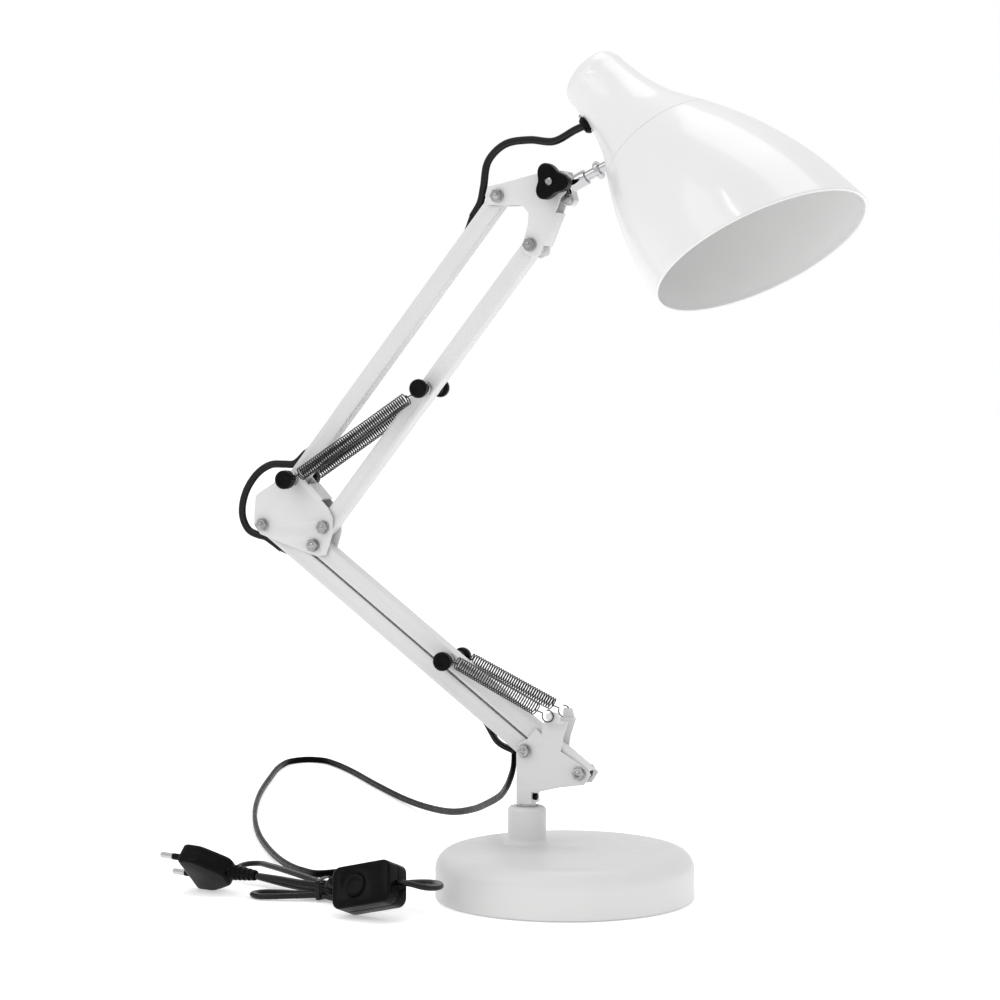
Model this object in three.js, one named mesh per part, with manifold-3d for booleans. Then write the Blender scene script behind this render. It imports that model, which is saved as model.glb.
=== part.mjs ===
// Swing arm desk lamp with a round base, two parallelogram arms, outside springs and an angled shade.
// Units are millimetres, +Z is up, the origin is the middle of the base's underside.
// The arms lie in the plane Y = POST.y. Points of the arm are [x, z] measured from the post's axis.
import * as THREE from 'three';
import { mergeVertices } from 'three/addons/utils/BufferGeometryUtils.js';
import Module from 'manifold-3d';

const wasm = await Module();
wasm.setup();

// ---- driving dimensions ----
const GAP = 0.3;
const POST = { x: -29, y: 7, radius: 12.4, top: 56, bore: 9.8, mouth: 7.2, shoulder: 3, foot: 4 };
const BASE = { radius: 82.5, wall: 2, rim: 1, shoulder: 19, fillet: 12, dome: 1.5, overlap: 1.7, footLift: 1 };
const BORE = { bottom: 20, lip: 4 };
const PAD = { radius: 76, height: 3 };
const WEIGHT = { radius: 79.8, topRadius: 78.4, bottom: 3.4, shoulder: 16, top: 18 };
const BUSH = { radius: 9.5, bore: 6.1, bottom: 3.4, floor: 6, top: 51.6 };
const STEM = { radius: 5.75, bottom: 6.4, neckLeft: -4.3, neckBottom: 58, neckTop: 69, gussetTop: 84 };

const BAR = { length: 234, half: 5.4, web: 1.2, wall: 1.2, width: 10, overhang: 0.4 };
const PLATE = { inner: 6.1, outer: 7.4 };
const WEB = 1.3;
const PIVOT = {
  shank: 2.5,
  hole: 2.8,
  washer: 4.4,
  washerHeight: 0.8,
  nut: 4.1,
  nutHeight: 2.6,
  domeRadius: 2.9,
  domeTop: 1.8,
  dome: 0.8,
};
const OVERLAP = 0.1;
const DRILL = 9;
const LOWER_ANGLE = 143.3;
const UPPER_ANGLE = 51.3;

const SPRING = { radius: 4.8, endRadius: 3.8, wire: 0.7, eye: 3.8, wireOverlap: 1.5, sides: 10 };
const KNOB = { radius: 6.2, neck: 4.6, bore: 2.8, depth: 4, flare: 1.6, edge: 1.2, face: 4.8 };
const CORD = { radius: 2.5, sides: 8 };

// Pivots, in the arm's plane.
const direction = (degrees) => {
  const angle = THREE.MathUtils.degToRad(degrees);
  return [Math.cos(angle), Math.sin(angle)];
};
const along = (point, degrees, distance) => {
  const [x, z] = direction(degrees);
  return [point[0] + x * distance, point[1] + z * distance];
};
const offset = (point, delta) => [point[0] + delta[0], point[1] + delta[1]];

const BASE_LEFT = [1.5, 92.5];
const BASE_RIGHT = offset(BASE_LEFT, [37.6, -12.5]);
const ELBOW_LOWER_LEFT = along(BASE_LEFT, LOWER_ANGLE, BAR.length);
const ELBOW_LOWER_RIGHT = along(BASE_RIGHT, LOWER_ANGLE, BAR.length);
const ELBOW_UPPER_LEFT = offset(ELBOW_LOWER_LEFT, [22.4, 30.7]);
const ELBOW_UPPER_RIGHT = offset(ELBOW_UPPER_LEFT, [22.3, -31.2]);
const HEAD_LEFT = along(ELBOW_UPPER_LEFT, UPPER_ANGLE, BAR.length);
const HEAD_RIGHT = along(ELBOW_UPPER_RIGHT, UPPER_ANGLE, BAR.length);
const LOWER_PIN_AT = 114;
const UPPER_PIN_AT = 117;
const LOWER_SPRING_PIN = along(BASE_RIGHT, LOWER_ANGLE, LOWER_PIN_AT);
const UPPER_SPRING_PIN = along(ELBOW_UPPER_RIGHT, UPPER_ANGLE, UPPER_PIN_AT);
const LOWER_SPRING_HOOK = [20, 116.3];
const LOWER_COIL = { pinEnd: [-44.4, 147.5], hookEnd: [13, 120] };
const UPPER_COIL = { elbowEnd: [-156, 266], pinEnd: [-78, 317] };
const TILT = [23.1, 453.1];

// The rod that carries the shade: its foot is the point of its axis nearest the tilt bolt.
const ROD = {
  foot: [25, 449.2],
  angle: 26,
  radius: 3.25,
  start: 9,
  end: 35,
  nutStart: 24.6,
  nutEnd: 27.6,
  nutRadius: 6,
  drillStart: 15,
  drillLength: 24,
};
const rodPoint = (distance) => along(ROD.foot, ROD.angle, distance);

// The shade: a curved cone. s runs from the closed neck (0) to the mouth (1).
const SHADE = {
  centreX: [37.1, 78.1, 120.1, 161.9],
  centreZ: [523, 486.4, 448.7, 406.5],
  tilt: 41.4,
  tiltGain: 19.4,
  radii: [[0, 14.1], [0.03, 20.4], [0.08, 21.4], [0.2, 23.9], [0.32, 30.2], [0.46, 42.4], [0.62, 54.4],
    [0.8, 64.1], [1, 70.6]],
  wall: 1,
  lining: 0.9,
  capEnd: 0.438,
  bellStart: 0.4425,
  collarStart: 0.4,
  twist: -10,
  sides: 40,
};
const HOLDER = { start: 0.06, length: 44, radius: 17, chamfer: 3, socket: 13.5, socketDepth: 30 };
const HOLDER_RING = { radius: 20, from: 26, to: 29 };
const GROMMET = { s: 0.167, phi: -17, hole: 4.5, drill: 5, neck: 4.2, bore: 3, flange: 6, inside: -2.6, outside: 4 };
const GROMMET_SCREW = { s: 0.11, phi: 0, hole: 1.9, drill: 4, shank: 1.6, depth: 2.4, head: 3.2, seat: 0.4 };

// Loose cord: from the lower arm over the table to the switch, then the folded lead to the plug.
const SWITCH = {
  centre: [-85.9, -108.5, 18.9],
  long: [41.1, -4.8, 10],
  back: [3.8, 18.1, -7.1],
  length: 42.6,
  height: 26.6,
  depth: 19.8,
  round: 4,
  bevel: 1.5,
  exitDepth: 6,
  seam: 0.4,
};
const PLUG = { nose: [-230.8, -72, 15.6], tail: [-179.2, -79, 14.4], width: 34, thickness: 13.5, roll: 44 };

// ---- helpers ----
const material = (name, color, metalness, roughness) => (
  new THREE.MeshStandardMaterial({ name, color, metalness, roughness })
);
const PAINT_WHITE = ['white_paint', 0xe6e6e4, 0.1, 0.45];
const SHADE_WHITE = ['shade_paint', 0xf3f3f1, 0.1, 0.25];
const CAST_IRON = ['cast_iron', 0x3d3f42, 0.8, 0.7];
const FELT = ['foot_pad', 0xb9b9b7, 0, 0.95];
const LINER = ['liner_plastic', 0xc9c9c6, 0, 0.5];
const NICKEL = ['nickel_fastener', 0xb9bbbd, 1, 0.3];
const CHROME = ['chrome', 0xd8dadc, 1, 0.12];
const SPRING_STEEL = ['spring_steel', 0x5a5c60, 1, 0.35];
const BLACK_KNOB = ['black_knob', 0x151515, 0, 0.4];
const BLACK_CORD = ['black_cord', 0x101010, 0, 0.5];
const BLACK_CASE = ['black_case', 0x131313, 0, 0.35];
const CERAMIC = ['holder_plastic', 0x1b1b1c, 0, 0.45];

function toSolid(geometry) {
  const bare = geometry.clone();
  bare.deleteAttribute('normal');
  bare.deleteAttribute('uv');
  const merged = mergeVertices(bare, 1e-4);
  return new wasm.Manifold(new wasm.Mesh({
    numProp: 3,
    vertProperties: new Float32Array(merged.attributes.position.array),
    triVerts: new Uint32Array(merged.index.array),
  }));
}

function toGeometry(solid) {
  const mesh = solid.getMesh();
  const geometry = new THREE.BufferGeometry();
  geometry.setAttribute('position', new THREE.BufferAttribute(mesh.vertProperties, 3));
  geometry.setIndex(new THREE.BufferAttribute(mesh.triVerts, 1));
  const flat = geometry.toNonIndexed();
  flat.computeVertexNormals();
  return flat;
}

const join = (...geometries) => (
  toGeometry(geometries.map(toSolid).reduce((whole, piece) => whole.add(piece)))
);
const cut = (geometry, ...tools) => (
  toGeometry(tools.map(toSolid).reduce((whole, tool) => whole.subtract(tool), toSolid(geometry)))
);

// A profile of [radius, z] points, counterclockwise, turned about the Z axis.
function revolve(profile, segments) {
  const points = profile.map(([r, z]) => new THREE.Vector2(r, z));
  return new THREE.LatheGeometry(points, segments).rotateX(Math.PI / 2);
}

// Points on an arc of [x, z], from one angle to another in degrees.
function arc(centre, radius, from, to, steps) {
  const points = [];
  for (let i = 0; i <= steps; i += 1) {
    const [x, z] = direction(from + ((to - from) * i) / steps);
    points.push([centre[0] + radius * x, centre[1] + radius * z]);
  }
  return points;
}

// A plate with an outline in X and Z, between two Y values.
function slab(outline, y0, y1, holes = []) {
  const shape = new THREE.Shape(outline.map(([x, z]) => new THREE.Vector2(x, z)));
  for (const [centre, radius] of holes) {
    const ring = arc(centre, radius, 0, 330, 11).map(([x, z]) => new THREE.Vector2(x, z));
    shape.holes.push(new THREE.Path(ring));
  }
  const plate = new THREE.ExtrudeGeometry(shape, { depth: y1 - y0, bevelEnabled: false });
  return plate.rotateX(Math.PI / 2).translate(0, y1, 0);
}

function box(x0, x1, y0, y1, z0, z1) {
  const block = new THREE.BoxGeometry(x1 - x0, y1 - y0, z1 - z0);
  return block.translate((x0 + x1) / 2, (y0 + y1) / 2, (z0 + z1) / 2);
}

// A turned piece on an axis along Y through an arm point: profile of [radius, y], from the low y up.
function turnedOnY(centre, profile, segments = 12) {
  const points = profile.map(([r, y]) => new THREE.Vector2(r, y));
  return new THREE.LatheGeometry(points, segments).translate(centre[0], 0, centre[1]);
}

// The same profile on the other side of Y = 0.
const mirrored = (profile) => profile.map(([r, y]) => [r, -y]).reverse();

const cylinderOnY = (centre, radius, y0, y1, segments = 12) => (
  turnedOnY(centre, [[0, y0], [radius, y0], [radius, y1], [0, y1]], segments)
);

// A turned piece on any axis: profile of [radius, distance], from the origin point along the axis.
function turnedOnAxis(origin, axis, profile, segments) {
  const points = profile.map(([r, distance]) => new THREE.Vector2(r, distance));
  const turn = new THREE.Quaternion().setFromUnitVectors(new THREE.Vector3(0, 1, 0), axis.clone().normalize());
  const turned = new THREE.LatheGeometry(points, segments).applyQuaternion(turn);
  return turned.translate(origin.x, origin.y, origin.z);
}

// A round tube along a smooth curve through [x, y, z] points.
function tube(points, radius, spacing, sides = CORD.sides) {
  const curve = new THREE.CatmullRomCurve3(points.map((p) => new THREE.Vector3(...p)), false, 'centripetal');
  const section = new THREE.Shape();
  for (let i = 0; i < sides; i += 1) {
    const angle = (2 * Math.PI * i) / sides;
    const point = [radius * Math.cos(angle), radius * Math.sin(angle)];
    if (i === 0) section.moveTo(...point);
    else section.lineTo(...point);
  }
  const steps = Math.min(80, Math.ceil(curve.getLength() / spacing));
  return new THREE.ExtrudeGeometry(section, { steps, extrudePath: curve, bevelEnabled: false });
}

const root = new THREE.Group();
root.name = 'swing_arm_desk_lamp';

function addPart(name, geometry, finish) {
  const mesh = new THREE.Mesh(geometry, material(...finish));
  mesh.name = name;
  root.add(mesh);
}

const toPost = (geometry) => geometry.translate(POST.x, POST.y, 0);
const addArmPart = (name, geometry, finish) => addPart(name, toPost(geometry), finish);

// ---- base ----
function domeProfile(inset, steps) {
  const radius = BASE.radius - inset;
  const corner = BASE.fillet - inset;
  const flat = radius - corner;
  const top = BASE.shoulder + corner;
  const rounded = arc([flat, BASE.shoulder], corner, 0, 90, steps);
  return [[radius, BASE.rim], ...rounded, [flat / 2, top + BASE.dome * 0.75], [0, top + BASE.dome]];
}

function baseCover() {
  const shell = revolve([...domeProfile(BASE.wall, 2).reverse(), ...domeProfile(0, 5)], 48);
  const deck = BASE.shoulder + BASE.fillet + BASE.dome - BASE.overlap;
  const footTop = BASE.shoulder + BASE.fillet + BASE.footLift;
  const postProfile = [
    [0, deck],
    [POST.radius + POST.foot, deck],
    ...arc([POST.radius + POST.foot, footTop + POST.foot], POST.foot, -90, -180, 2),
    ...arc([POST.radius - POST.shoulder, POST.top - POST.shoulder], POST.shoulder, 0, 90, 3),
    [0, POST.top],
  ];
  const shelf = POST.top - BORE.lip;
  const above = POST.top + 1;
  const bore = [
    [0, BORE.bottom], [POST.bore, BORE.bottom], [POST.bore, shelf], [POST.mouth, shelf], [POST.mouth, above],
    [0, above],
  ];
  return cut(join(shell, toPost(revolve(postProfile, 24))), toPost(revolve(bore, 24)));
}

function baseWeight() {
  const ring = revolve([
    [0, WEIGHT.bottom],
    [WEIGHT.radius, WEIGHT.bottom],
    [WEIGHT.radius, WEIGHT.shoulder],
    [WEIGHT.topRadius, WEIGHT.top],
    [0, WEIGHT.top],
  ], 48);
  const above = WEIGHT.top + 1;
  return cut(ring, toPost(revolve([[0, 0], [POST.bore, 0], [POST.bore, above], [0, above]], 32)));
}

const basePad = () => revolve([[0, 0], [PAD.radius, 0], [PAD.radius, PAD.height], [0, PAD.height]], 48);

const postBush = () => toPost(revolve([
  [0, BUSH.bottom],
  [BUSH.radius, BUSH.bottom],
  [BUSH.radius, BUSH.top],
  [BUSH.bore, BUSH.top],
  [BUSH.bore, BUSH.floor],
  [0, BUSH.floor],
], 32));

// ---- folded brackets ----
const bothSides = (make) => [make(-1), make(1)];
const plates = (outline, holes) => bothSides((side) => (
  side < 0 ? slab(outline, -PLATE.outer, -PLATE.inner, holes) : slab(outline, PLATE.inner, PLATE.outer, holes)
));

// A strip of given thickness between the two plates, along a line in the arm's plane.
function web(from, to, thickness) {
  const length = Math.hypot(to[0] - from[0], to[1] - from[1]);
  const normal = [((to[1] - from[1]) / length) * thickness, ((from[0] - to[0]) / length) * thickness];
  return slab([from, to, offset(to, normal), offset(from, normal)].reverse(), -PLATE.outer, PLATE.outer);
}

// A flange beside the bracket with a tongue and a headed post that a lower spring's eye hangs on.
const HOOK = {
  left: 17,
  right: 29,
  bottom: 111.3,
  top: 112.6,
  reach: 12.6,
  tongueInner: 11.4,
  tongue: [[20, 112.1], [28.2, 112.1], [26.4, 118.6], [20.6, 118.6]],
  postX: 21.5,
  postRadius: 1.2,
  postStart: 12,
  headRadius: 2.2,
  headStart: 15.3,
  end: 16.4,
};

function springHook(side) {
  const onSide = (inner, outer) => (side < 0 ? [-outer, -inner] : [inner, outer]);
  const postCentre = [HOOK.postX, LOWER_SPRING_HOOK[1]];
  return [
    box(HOOK.left, HOOK.right, ...onSide(PLATE.inner, HOOK.reach), HOOK.bottom, HOOK.top),
    slab(HOOK.tongue, ...onSide(HOOK.tongueInner, HOOK.reach)),
    cylinderOnY(postCentre, HOOK.postRadius, ...onSide(HOOK.postStart, HOOK.end), 8),
    cylinderOnY(postCentre, HOOK.headRadius, ...onSide(HOOK.headStart, HOOK.end), 8),
  ];
}

function baseBracket() {
  const outline = [
    [9.4, 66], [25.5, 70.1], [41.9, 72.7], [46.5, 79.4], [38.6, 85.8], [26, 93.2], [27.5, 102], [31, 112.5],
    [14, 111], [13, 103.5], [8.9, 107.1], [3.2, 100], [-2.6, 97.5], [-4.3, 92.5], [-4.3, 66],
  ];
  const holes = [[BASE_LEFT, PIVOT.hole], [BASE_RIGHT, PIVOT.hole]];
  const { radius, bottom, neckLeft, neckBottom, neckTop, gussetTop } = STEM;
  const stem = [[0, bottom], [radius, bottom], [radius, neckTop], [0, neckTop]];
  return join(
    ...plates(outline, holes),
    box(neckLeft, radius, -PLATE.outer, PLATE.outer, neckBottom, neckTop),
    box(neckLeft, neckLeft + WEB, -PLATE.outer, PLATE.outer, neckTop - GAP, gussetTop),
    revolve(stem, 20),
    ...bothSides(springHook).flat(),
  );
}

function elbowBracket() {
  const outline = [
    [-175.8, 221.9], [-152.5, 214.6], [-146.3, 212.5], [-139.5, 213.5], [-135.2, 227.5], [-134.8, 238],
    [-137.8, 244], [-154.5, 261.5], [-160.5, 269], [-169, 268.5], [-178.1, 260.1], [-189.8, 252.9],
    [-191.3, 251.3], [-192.4, 240], [-192.5, 232], [-187.9, 226.2],
  ];
  const pivots = [ELBOW_LOWER_LEFT, ELBOW_LOWER_RIGHT, ELBOW_UPPER_LEFT, ELBOW_UPPER_RIGHT];
  return join(
    ...plates(outline, pivots.map((pivot) => [pivot, PIVOT.hole])),
    web([-143, 249.4], [-152.2, 259.1], WEB),
  );
}

function headBracket() {
  const outline = [
    [-24.2, 440.2], [-13.4, 439.4], [-2.9, 439.5], [0.9, 438], [4, 434], [3.3, 426.5], [-0.9, 412.4],
    [0.9, 409.4], [6.5, 406], [12.2, 408.1], [13.4, 414.4], [25.8, 443.4], [29, 446.5], [31, 453], [28, 460],
    [20, 461.5], [-14.1, 453.5], [-24.2, 451.7], [-25.9, 446],
  ];
  const holes = [HEAD_LEFT, HEAD_RIGHT, TILT].map((pivot) => [pivot, PIVOT.hole]);
  return join(...plates(outline, holes), web([13.2, 414], [22, 434.6], WEB));
}

// ---- channel bars, bolts and pins ----
// A channel bar from one pivot to the other, open on its left side as it runs; u is along it, v to its right.
function barPoint(start, degrees, u, v) {
  const [x, z] = direction(degrees);
  return [start[0] + u * x + v * z, start[1] + u * z - v * x];
}

function channelBar(start, degrees, pinHoles = []) {
  const startEnd = -BAR.overhang;
  const farEnd = BAR.length + BAR.overhang;
  const flat = [
    ...arc([farEnd, 0], BAR.half, -90, 90, 8),
    ...arc([startEnd, 0], BAR.half, 90, 270, 8),
  ];
  const outline = flat.map(([u, v]) => barPoint(start, degrees, u, v)).reverse();
  const past = BAR.half + 2;
  const floor = BAR.half - BAR.web;
  const open = [[startEnd - past, -past], [farEnd + past, -past], [farEnd + past, floor], [startEnd - past, floor]];
  const hollow = open.map(([u, v]) => barPoint(start, degrees, u, v)).reverse();
  const inside = BAR.width / 2 - BAR.wall;
  const drills = [0, BAR.length, ...pinHoles].map((u) => (
    cylinderOnY(barPoint(start, degrees, u, 0), PIVOT.hole, -DRILL, DRILL)
  ));
  return cut(slab(outline, -BAR.width / 2, BAR.width / 2), slab(hollow, -inside, inside), ...drills);
}

function hexNut(centre, y0, y1, radius = PIVOT.nut) {
  return cylinderOnY(centre, radius, y0, y1, 6);
}

// Bolt, washers and domed nuts of one pivot, from outside one plate to outside the other.
function pivotBolt(centre) {
  const seat = PLATE.outer + GAP;
  const nutSeat = seat + PIVOT.washerHeight;
  const end = nutSeat + PIVOT.nutHeight;
  const shank = turnedOnY(centre, [
    [0, -nutSeat], [PIVOT.washer, -nutSeat], [PIVOT.washer, -seat], [PIVOT.shank, -seat],
    [PIVOT.shank, seat], [PIVOT.washer, seat], [PIVOT.washer, nutSeat], [0, nutSeat],
  ], 10);
  const dome = [
    [0, end - OVERLAP], [PIVOT.domeRadius, end - OVERLAP], [PIVOT.domeTop, end + PIVOT.dome], [0, end + PIVOT.dome],
  ];
  return join(
    shank,
    hexNut(centre, -end, OVERLAP - nutSeat),
    hexNut(centre, nutSeat - OVERLAP, end),
    turnedOnY(centre, mirrored(dome), 8),
    turnedOnY(centre, dome, 8),
  );
}

// A pin through a bar or the elbow, with a collar on each side and ends that the knobs screw on to.
function springPin(centre, { collar, collarEnd, inner }) {
  const end = inner + KNOB.depth - 0.4;
  const half = [
    [PIVOT.shank, collar], [PIVOT.washer, collar], [PIVOT.washer, collarEnd], [PIVOT.shank, collarEnd],
    [PIVOT.shank, end], [0, end],
  ];
  return turnedOnY(centre, [...mirrored(half), ...half]);
}

function roundKnob(centre, side, { inner, outer }) {
  const profile = [
    [0, inner + KNOB.depth], [KNOB.bore, inner + KNOB.depth], [KNOB.bore, inner], [KNOB.neck, inner],
    [KNOB.radius, inner + KNOB.flare], [KNOB.radius, outer - KNOB.edge], [KNOB.face, outer], [0, outer],
  ];
  return turnedOnY(centre, side > 0 ? profile : mirrored(profile), 14);
}

// ---- springs ----
// A spring between two eyes: a close-wound coil drawn as a sleeve, two wires and two round eyes.
function spring(coilStart, coilEnd, startEye, startY, endEye, endY) {
  const start = new THREE.Vector3(coilStart[0], startY, coilStart[1]);
  const end = new THREE.Vector3(coilEnd[0], endY, coilEnd[1]);
  const length = start.distanceTo(end);
  const axis = end.clone().sub(start);
  const coil = turnedOnAxis(start, axis, [
    [0, 0], [SPRING.endRadius, 0], [SPRING.radius, 1], [SPRING.radius, length - 1], [SPRING.endRadius, length],
    [0, length],
  ], SPRING.sides);
  const eyeAndWire = (eye, y, coilPoint) => {
    const centre = new THREE.Vector3(eye[0], y, eye[1]);
    const toCoil = coilPoint.clone().sub(centre).normalize();
    const ring = new THREE.TorusGeometry(SPRING.eye, SPRING.wire, 4, 10).rotateX(Math.PI / 2);
    ring.translate(centre.x, centre.y, centre.z);
    const wireStart = centre.clone().addScaledVector(toCoil, SPRING.eye);
    const reach = wireStart.distanceTo(coilPoint) + SPRING.wireOverlap;
    const wire = turnedOnAxis(wireStart, toCoil, [
      [0, 0], [SPRING.wire, 0], [SPRING.wire, reach], [0, reach],
    ], 6);
    return [ring, wire];
  };
  return join(coil, ...eyeAndWire(startEye, startY, start), ...eyeAndWire(endEye, endY, end));
}

// ---- tilt joint ----
const SWIVEL = {
  half: 3.6,
  eye: 7.5,
  lobe: [29.5, 442.5],
  lobeRadius: 4.2,
  lobeHole: 1.8,
  bossStart: 5.4,
  bossEnd: 17,
  bossRadius: 5,
  socketStart: 8,
};
const SWIVEL_SCREW = { shank: 1.5, seat: 3.9, head: 3.4, edge: 5, faceRadius: 2.4, face: 5.8 };
const TILT_KNOB = {
  plateEnd: -7.7,
  headInner: -11.5,
  headOuter: -20.5,
  sleeve: 4,
  radius: 10.2,
  wave: 2.2,
  lobes: 3,
  phase: -5,
};
const TILT_BOLT = { shank: 2.4, tip: 1.6, reach: 2.2, spacer: 4.6, spacerInner: 3.9, spacerOuter: 5.8 };

const inArmPlane = ([x, z]) => new THREE.Vector3(x, 0, z);
const ROD_AXIS = inArmPlane(direction(ROD.angle));

// A cylinder on the rod's axis between two distances from the rod's foot.
const onRod = (radius, from, to, segments = 16) => turnedOnAxis(inArmPlane(rodPoint(from)), ROD_AXIS, [
  [0, 0], [radius, 0], [radius, to - from], [0, to - from],
], segments);

function swivelBlock() {
  const body = slab([
    ...arc(TILT, SWIVEL.eye, 20, 215, 10),
    ...arc(SWIVEL.lobe, SWIVEL.lobeRadius, 215, 380, 8),
  ], -SWIVEL.half, SWIVEL.half);
  return cut(
    join(body, onRod(SWIVEL.bossRadius, SWIVEL.bossStart, SWIVEL.bossEnd)),
    onRod(ROD.radius + GAP, SWIVEL.socketStart, SWIVEL.bossEnd + 1),
    cylinderOnY(TILT, PIVOT.hole, -DRILL, DRILL),
    cylinderOnY(SWIVEL.lobe, SWIVEL.lobeHole, -DRILL, DRILL, 10),
  );
}

function swivelScrew() {
  const { shank, seat, head, edge, faceRadius, face } = SWIVEL_SCREW;
  const half = [[shank, seat], [head, seat], [head, edge], [faceRadius, face], [0, face]];
  return turnedOnY(SWIVEL.lobe, [...mirrored(half), ...half]);
}

// The clamp bolt: a threaded end in the knob, two spacers beside the swivel block, and a nut behind.
function tiltBolt() {
  const { shank, tip, reach, spacer, spacerInner, spacerOuter } = TILT_BOLT;
  const start = TILT_KNOB.headOuter - reach;
  const seat = PLATE.outer + GAP;
  const nutSeat = seat + PIVOT.washerHeight;
  const nutEnd = nutSeat + PIVOT.nutHeight;
  const half = [[shank, spacerInner], [spacer, spacerInner], [spacer, spacerOuter], [shank, spacerOuter]];
  const turned = turnedOnY(TILT, [
    [0, start], [tip, start], [shank, start + 1], ...mirrored(half), ...half, [shank, seat], [PIVOT.washer, seat],
    [PIVOT.washer, nutSeat], [PIVOT.domeRadius, nutSeat], [PIVOT.domeRadius, nutEnd - OVERLAP],
    [PIVOT.domeTop, nutEnd + PIVOT.dome], [0, nutEnd + PIVOT.dome],
  ]);
  return join(turned, hexNut(TILT, nutSeat - OVERLAP, nutEnd));
}

function tiltKnob() {
  const { plateEnd, headInner, headOuter, radius, wave, lobes, phase } = TILT_KNOB;
  const outline = [];
  for (let degrees = 0; degrees < 360; degrees += 15) {
    const lobe = Math.cos(THREE.MathUtils.degToRad(lobes * (degrees - phase)));
    outline.push(along(TILT, degrees, radius + wave * lobe));
  }
  const sleeve = cylinderOnY(TILT, TILT_KNOB.sleeve, headInner - OVERLAP, plateEnd, 14);
  const bore = cylinderOnY(TILT, PIVOT.hole, headOuter - 1, plateEnd + 1, 12);
  return cut(join(slab(outline, headOuter, headInner), sleeve), bore);
}

// ---- shade ----
// The cubic through four values at s = 0, 1/3, 2/3 and 1.
function throughFour(values, s) {
  const knots = [0, 1 / 3, 2 / 3, 1];
  return values.reduce((sum, value, i) => (
    sum + knots.reduce((part, knot, j) => (i === j ? part : (part * (s - knot)) / (knots[i] - knot)), value)
  ), 0);
}

const shadeCentre = (s) => (
  new THREE.Vector3(throughFour(SHADE.centreX, s), 0, throughFour(SHADE.centreZ, s))
);

// Unit vectors of a section: down points to its underside, out is the way from neck to mouth.
function sectionAxes(s) {
  const tilt = THREE.MathUtils.degToRad(SHADE.tilt + SHADE.tiltGain * s);
  return {
    down: new THREE.Vector3(-Math.sin(tilt), 0, -Math.cos(tilt)),
    side: new THREE.Vector3(0, 1, 0),
    out: new THREE.Vector3(Math.cos(tilt), 0, -Math.sin(tilt)),
  };
}

function shadeRadius(s) {
  const knots = SHADE.radii;
  const next = Math.max(1, knots.findIndex(([at]) => at >= s));
  const [s0, r0] = knots[next - 1];
  const [s1, r1] = knots[next];
  const slope = (i) => {
    const before = knots[Math.max(0, i - 1)];
    const after = knots[Math.min(knots.length - 1, i + 1)];
    return (after[1] - before[1]) / (after[0] - before[0]);
  };
  const width = s1 - s0;
  const t = (s - s0) / width;
  const m0 = slope(next - 1) * width;
  const m1 = slope(next) * width;
  return (
    r0 * (2 * t ** 3 - 3 * t ** 2 + 1) + m0 * (t ** 3 - 2 * t ** 2 + t)
    + r1 * (3 * t ** 2 - 2 * t ** 3) + m1 * (t ** 3 - t ** 2)
  );
}

function shadePoint(s, phi, inset) {
  const { down, side } = sectionAxes(s);
  const angle = THREE.MathUtils.degToRad(phi);
  const radius = shadeRadius(s) - inset;
  return shadeCentre(s)
    .addScaledVector(down, radius * Math.cos(angle))
    .addScaledVector(side, radius * Math.sin(angle));
}

function twistShade(geometry) {
  const [x, z] = ROD.foot;
  const turn = new THREE.Quaternion().setFromAxisAngle(ROD_AXIS, THREE.MathUtils.degToRad(SHADE.twist));
  return geometry.translate(-x, 0, -z).applyQuaternion(turn).translate(x, 0, z);
}

// A closed skin through rings of {s, inset}: a loop of rings, or a run from one pole to another.
function skin(rings, poles) {
  const vertices = [];
  const triangles = [];
  const n = SHADE.sides;
  for (const { s, inset } of rings) {
    for (let i = 0; i < n; i += 1) vertices.push(...shadePoint(s, (360 * i) / n, inset).toArray());
  }
  const bridge = (a, b) => {
    for (let i = 0; i < n; i += 1) {
      const j = (i + 1) % n;
      triangles.push(a * n + i, b * n + j, b * n + i, a * n + i, a * n + j, b * n + j);
    }
  };
  for (let ring = 0; ring + 1 < rings.length; ring += 1) bridge(ring, ring + 1);
  if (poles) {
    const first = vertices.length / 3;
    const last = rings.length - 1;
    vertices.push(...shadeCentre(rings[0].s).toArray(), ...shadeCentre(rings[last].s).toArray());
    for (let i = 0; i < n; i += 1) {
      const j = (i + 1) % n;
      triangles.push(first, j, i, first + 1, last * n + i, last * n + j);
    }
  } else {
    bridge(rings.length - 1, 0);
  }
  const geometry = new THREE.BufferGeometry();
  geometry.setAttribute('position', new THREE.Float32BufferAttribute(vertices, 3));
  geometry.setIndex(triangles);
  return geometry;
}

const ringsAt = (stations, inset) => stations.map((s) => ({ s, inset }));

// The way out of the shade's surface, square to it.
function shadeNormal(s, phi) {
  const step = 0.004;
  const forward = shadePoint(s + step, phi, 0).sub(shadePoint(s - step, phi, 0));
  const sideways = shadePoint(s, phi + 1, 0).sub(shadePoint(s, phi - 1, 0));
  const outward = sideways.cross(forward).normalize();
  return outward.dot(shadePoint(s, phi, 0).sub(shadeCentre(s))) < 0 ? outward.negate() : outward;
}

// A turned tool or piece that stands on the shade's surface.
const onShade = (s, phi, profile, segments) => (
  turnedOnAxis(shadePoint(s, phi, 0), shadeNormal(s, phi), profile, segments)
);

const drill = (radius, depth) => [[0, -depth], [radius, -depth], [radius, depth], [0, depth]];

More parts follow.
